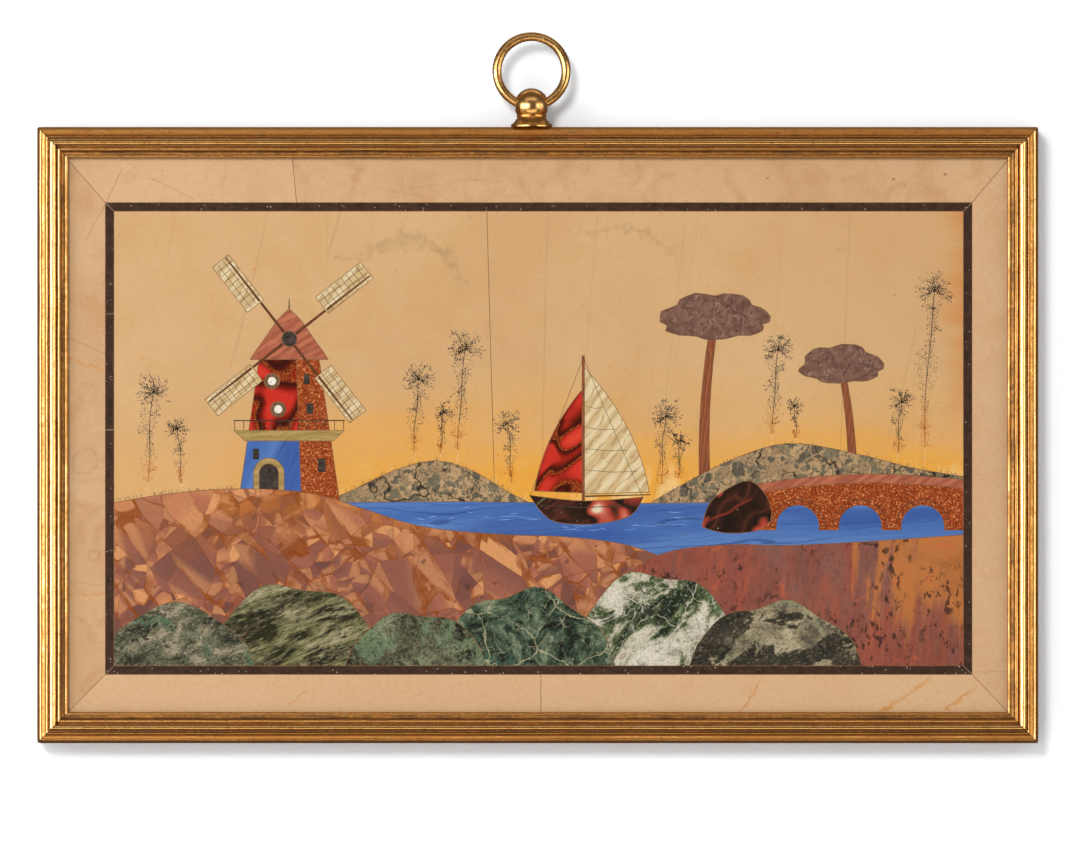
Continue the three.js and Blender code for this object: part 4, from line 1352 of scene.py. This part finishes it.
def pourCement():
    j = joints
    front = panel["face"] - j["below"]
    wide, tall = j["halfWidth"], j["halfHeight"]
    corners = [(x, -y, z) for y in (front, front - j["thick"])
               for x, z in ((-wide, -tall), (wide, -tall), (wide, tall), (-wide, tall))]
    sides = [(0, 1, 2, 3), (7, 6, 5, 4)] + [(i, i + 4, (i + 1) % 4 + 4, (i + 1) % 4) for i in range(4)]
    stones = []
    for name, item in nodes.items():
        low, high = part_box(name)
        if low[1] < -j["frontOf"] * mm and not name.startswith(("frame_", "ring_", "hanging_")):
            stones.append(item.data)
    mesh = carved(meshFrom("plate", corners, sides), stones)
    addPiece("joint_cement", mesh, inkFinish["cement"])
    print("joints filled:", len(mesh.polygons), "faces")


pourCement()

# stage: white wall, pale floor, soft light
stage = {
    "viewWidth": 345.25, "viewCentre": (0.72, 4.5), "distance": 2000, "sensor": 36, "edgeForward": 9.8,
    "clipEnd": 20, "wallGap": 0.6, "wallReach": 3, "wallWhite": (1.11, 1.125, 1.13, 1), "wallGlow": 0.06,
    "floor": -420, "floorReach": 4, "floorGrey": (0.86, 0.86, 0.86, 1), "floorRough": 0.7,
    "keyFrom": (-0.33, -1, 0.44), "keyAway": 3.0, "keySize": (0.74, 0.74), "keyPower": 41,
    "sides": (("side_left", -60, 6.6), ("side_right", 60, 2.6), ("side_back", 160, 9)),  # turn and power
    "sideRise": 8, "sideAway": 1.6, "sideSize": (0.8, 0.8),
    "white": (1, 1, 1, 1), "fill": 0.36, "glossyWorld": (0.115, 0.08, 0.056, 1),
    # light cards that only the gilding and the polish reflect: turn and rise in degrees, size in metres,
    # brightness and colour
    "cards": (("left", -46, 0, (2.1, 1.1), 4.2, (1, 0.97, 0.92)),
              ("right", 57, 0, (1.6, 1.1), 2.2, (1, 0.9, 0.7)),
              ("above", 0, 46, (2.4, 0.7), 0.8, (1, 0.79, 0.56)),
              ("below", 0, -38, (2.4, 0.8), 1.4, (1, 0.78, 0.52)),
              ("top", 0, 114, (2.4, 0.9), 0.6, (1, 0.82, 0.62))),
    "cardAway": 1.5, "cardSoft": (0.14, 0.36),
}


def addLight(name, place, power, size, colour=(1, 1, 1)):
    data = bpy.data.lights.new(name, "AREA")
    data.shape = "RECTANGLE"
    data.size, data.size_y = size
    data.energy, data.color = power, colour
    lamp = bpy.data.objects.new(name, data)
    bpy.context.scene.collection.objects.link(lamp)
    lamp.location = place
    lamp.rotation_euler = (-lamp.location).to_track_quat("-Z", "Y").to_euler()
    lamp.visible_camera = False
    return lamp


def around(turn, rise):
    turn, rise = math.radians(turn), math.radians(rise)
    return Vector((math.sin(turn) * math.cos(rise), -math.cos(turn) * math.cos(rise), math.sin(rise)))


def addCard(name, turn, rise, size, brightness, colour):
    card = addLight("card_" + name, around(turn, rise) * stage["cardAway"],
                    brightness * math.pi * size[0] * size[1], size, colour)
    card.visible_diffuse = False
    card.data.use_nodes = True
    tree = card.data.node_tree
    power = maths("LESS_THAN", wire(tree, "LightPath", "Diffuse Depth"), 0.5)  # no glare on the wall
    place = wire(tree, "NewGeometry", "Parametric")
    for key, soft in zip("XY", stage["cardSoft"]):
        across = place.axis(key)
        power = power * spread(maths("MINIMUM", across, maths("SUBTRACT", 1, across)), 0, soft)
    feed(tree.nodes["Emission"].inputs["Strength"], power)


def addPlane(name, corners, material):
    mesh = bpy.data.meshes.new(name)
    mesh.from_pydata(corners, [], [(0, 1, 2, 3)])
    mesh.materials.append(material)
    plane = bpy.data.objects.new(name, mesh)
    bpy.context.scene.collection.objects.link(plane)
    return plane


def mixShaders(factor, first, second):
    return Wire(putBeside((factor, first, second), "MixShader").outputs[0])


def wallMaterial():
    material = bpy.data.materials.new("white_wall")
    material.use_nodes = True
    tree = material.node_tree
    tree.nodes.remove(tree.nodes["Principled BSDF"])
    white = wire(tree, "BsdfDiffuse", Color=stage["wallWhite"])
    glow = wire(tree, "Emission", Color=stage["white"], Strength=stage["wallGlow"])
    lit = Wire(putBeside((white, glow), "AddShader").outputs[0])
    behind = wire(tree, "NewGeometry", "Backfacing")
    seen = mixShaders(behind, lit, wire(tree, "BsdfTransparent"))
    feed(tree.nodes["Material Output"].inputs["Surface"], seen)
    return material


def floorMaterial():
    material = bpy.data.materials.new("pale_floor")
    material.use_nodes = True
    shader = material.node_tree.nodes["Principled BSDF"]
    shader.inputs["Base Color"].default_value = stage["floorGrey"]
    shader.inputs["Roughness"].default_value = stage["floorRough"]
    return material


def buildWorld():
    world = bpy.data.worlds.new("studio")
    bpy.context.scene.world = world
    world.use_nodes = True
    tree = world.node_tree
    tree.nodes.clear()
    path = wiresOf(put(tree, "LightPath"))
    fill, dim, plain = (wire(tree, "Background", Color=colour, Strength=strength) for colour, strength in (
        (stage["white"], stage["fill"]), (stage["glossyWorld"], 1.0), (stage["white"], 1.0)))
    seen = mixShaders(path["Is Camera Ray"], mixShaders(path["Is Glossy Ray"], fill, dim), plain)
    feed(put(tree, "OutputWorld").inputs["Surface"], seen)


def setCamera():
    s = stage
    data = bpy.data.cameras.new("view")
    data.sensor_fit, data.sensor_width = "HORIZONTAL", s["sensor"]
    data.lens = s["sensor"] * (s["distance"] - s["edgeForward"]) / s["viewWidth"]
    data.clip_end = s["clipEnd"]
    camera = bpy.data.objects.new("view", data)
    bpy.context.scene.collection.objects.link(camera)
    camera.location = Vector((s["viewCentre"][0], -s["distance"], s["viewCentre"][1])) * mm
    camera.rotation_euler = (math.pi / 2, 0, 0)
    bpy.context.scene.camera = camera
    bpy.context.scene.view_settings.view_transform = "Standard"


def buildStage():
    s = stage
    back, r = s["wallGap"] * mm, s["wallReach"]
    wall = addPlane("wall", [(-r, back, -r), (r, back, -r), (r, back, r), (-r, back, r)], wallMaterial())
    for ray in ("visible_diffuse", "visible_glossy", "visible_shadow", "visible_transmission"):
        setattr(wall, ray, False)
    low, r = s["floor"] * mm, s["floorReach"]
    ground = addPlane("floor", [(-r, -r, low), (r, -r, low), (r, r, low), (-r, r, low)], floorMaterial())
    key = addLight("key", Vector(s["keyFrom"]).normalized() * s["keyAway"], s["keyPower"], s["keySize"])
    sides = [addLight(name, around(turn, s["sideRise"]) * s["sideAway"], power, s["sideSize"])
             for name, turn, power in s["sides"]]
    for item in (ground, key, *sides):
        item.visible_glossy = False
    for card in s["cards"]:
        addCard(*card)
    buildWorld()
    setCamera()
    print("stage set")


buildStage()
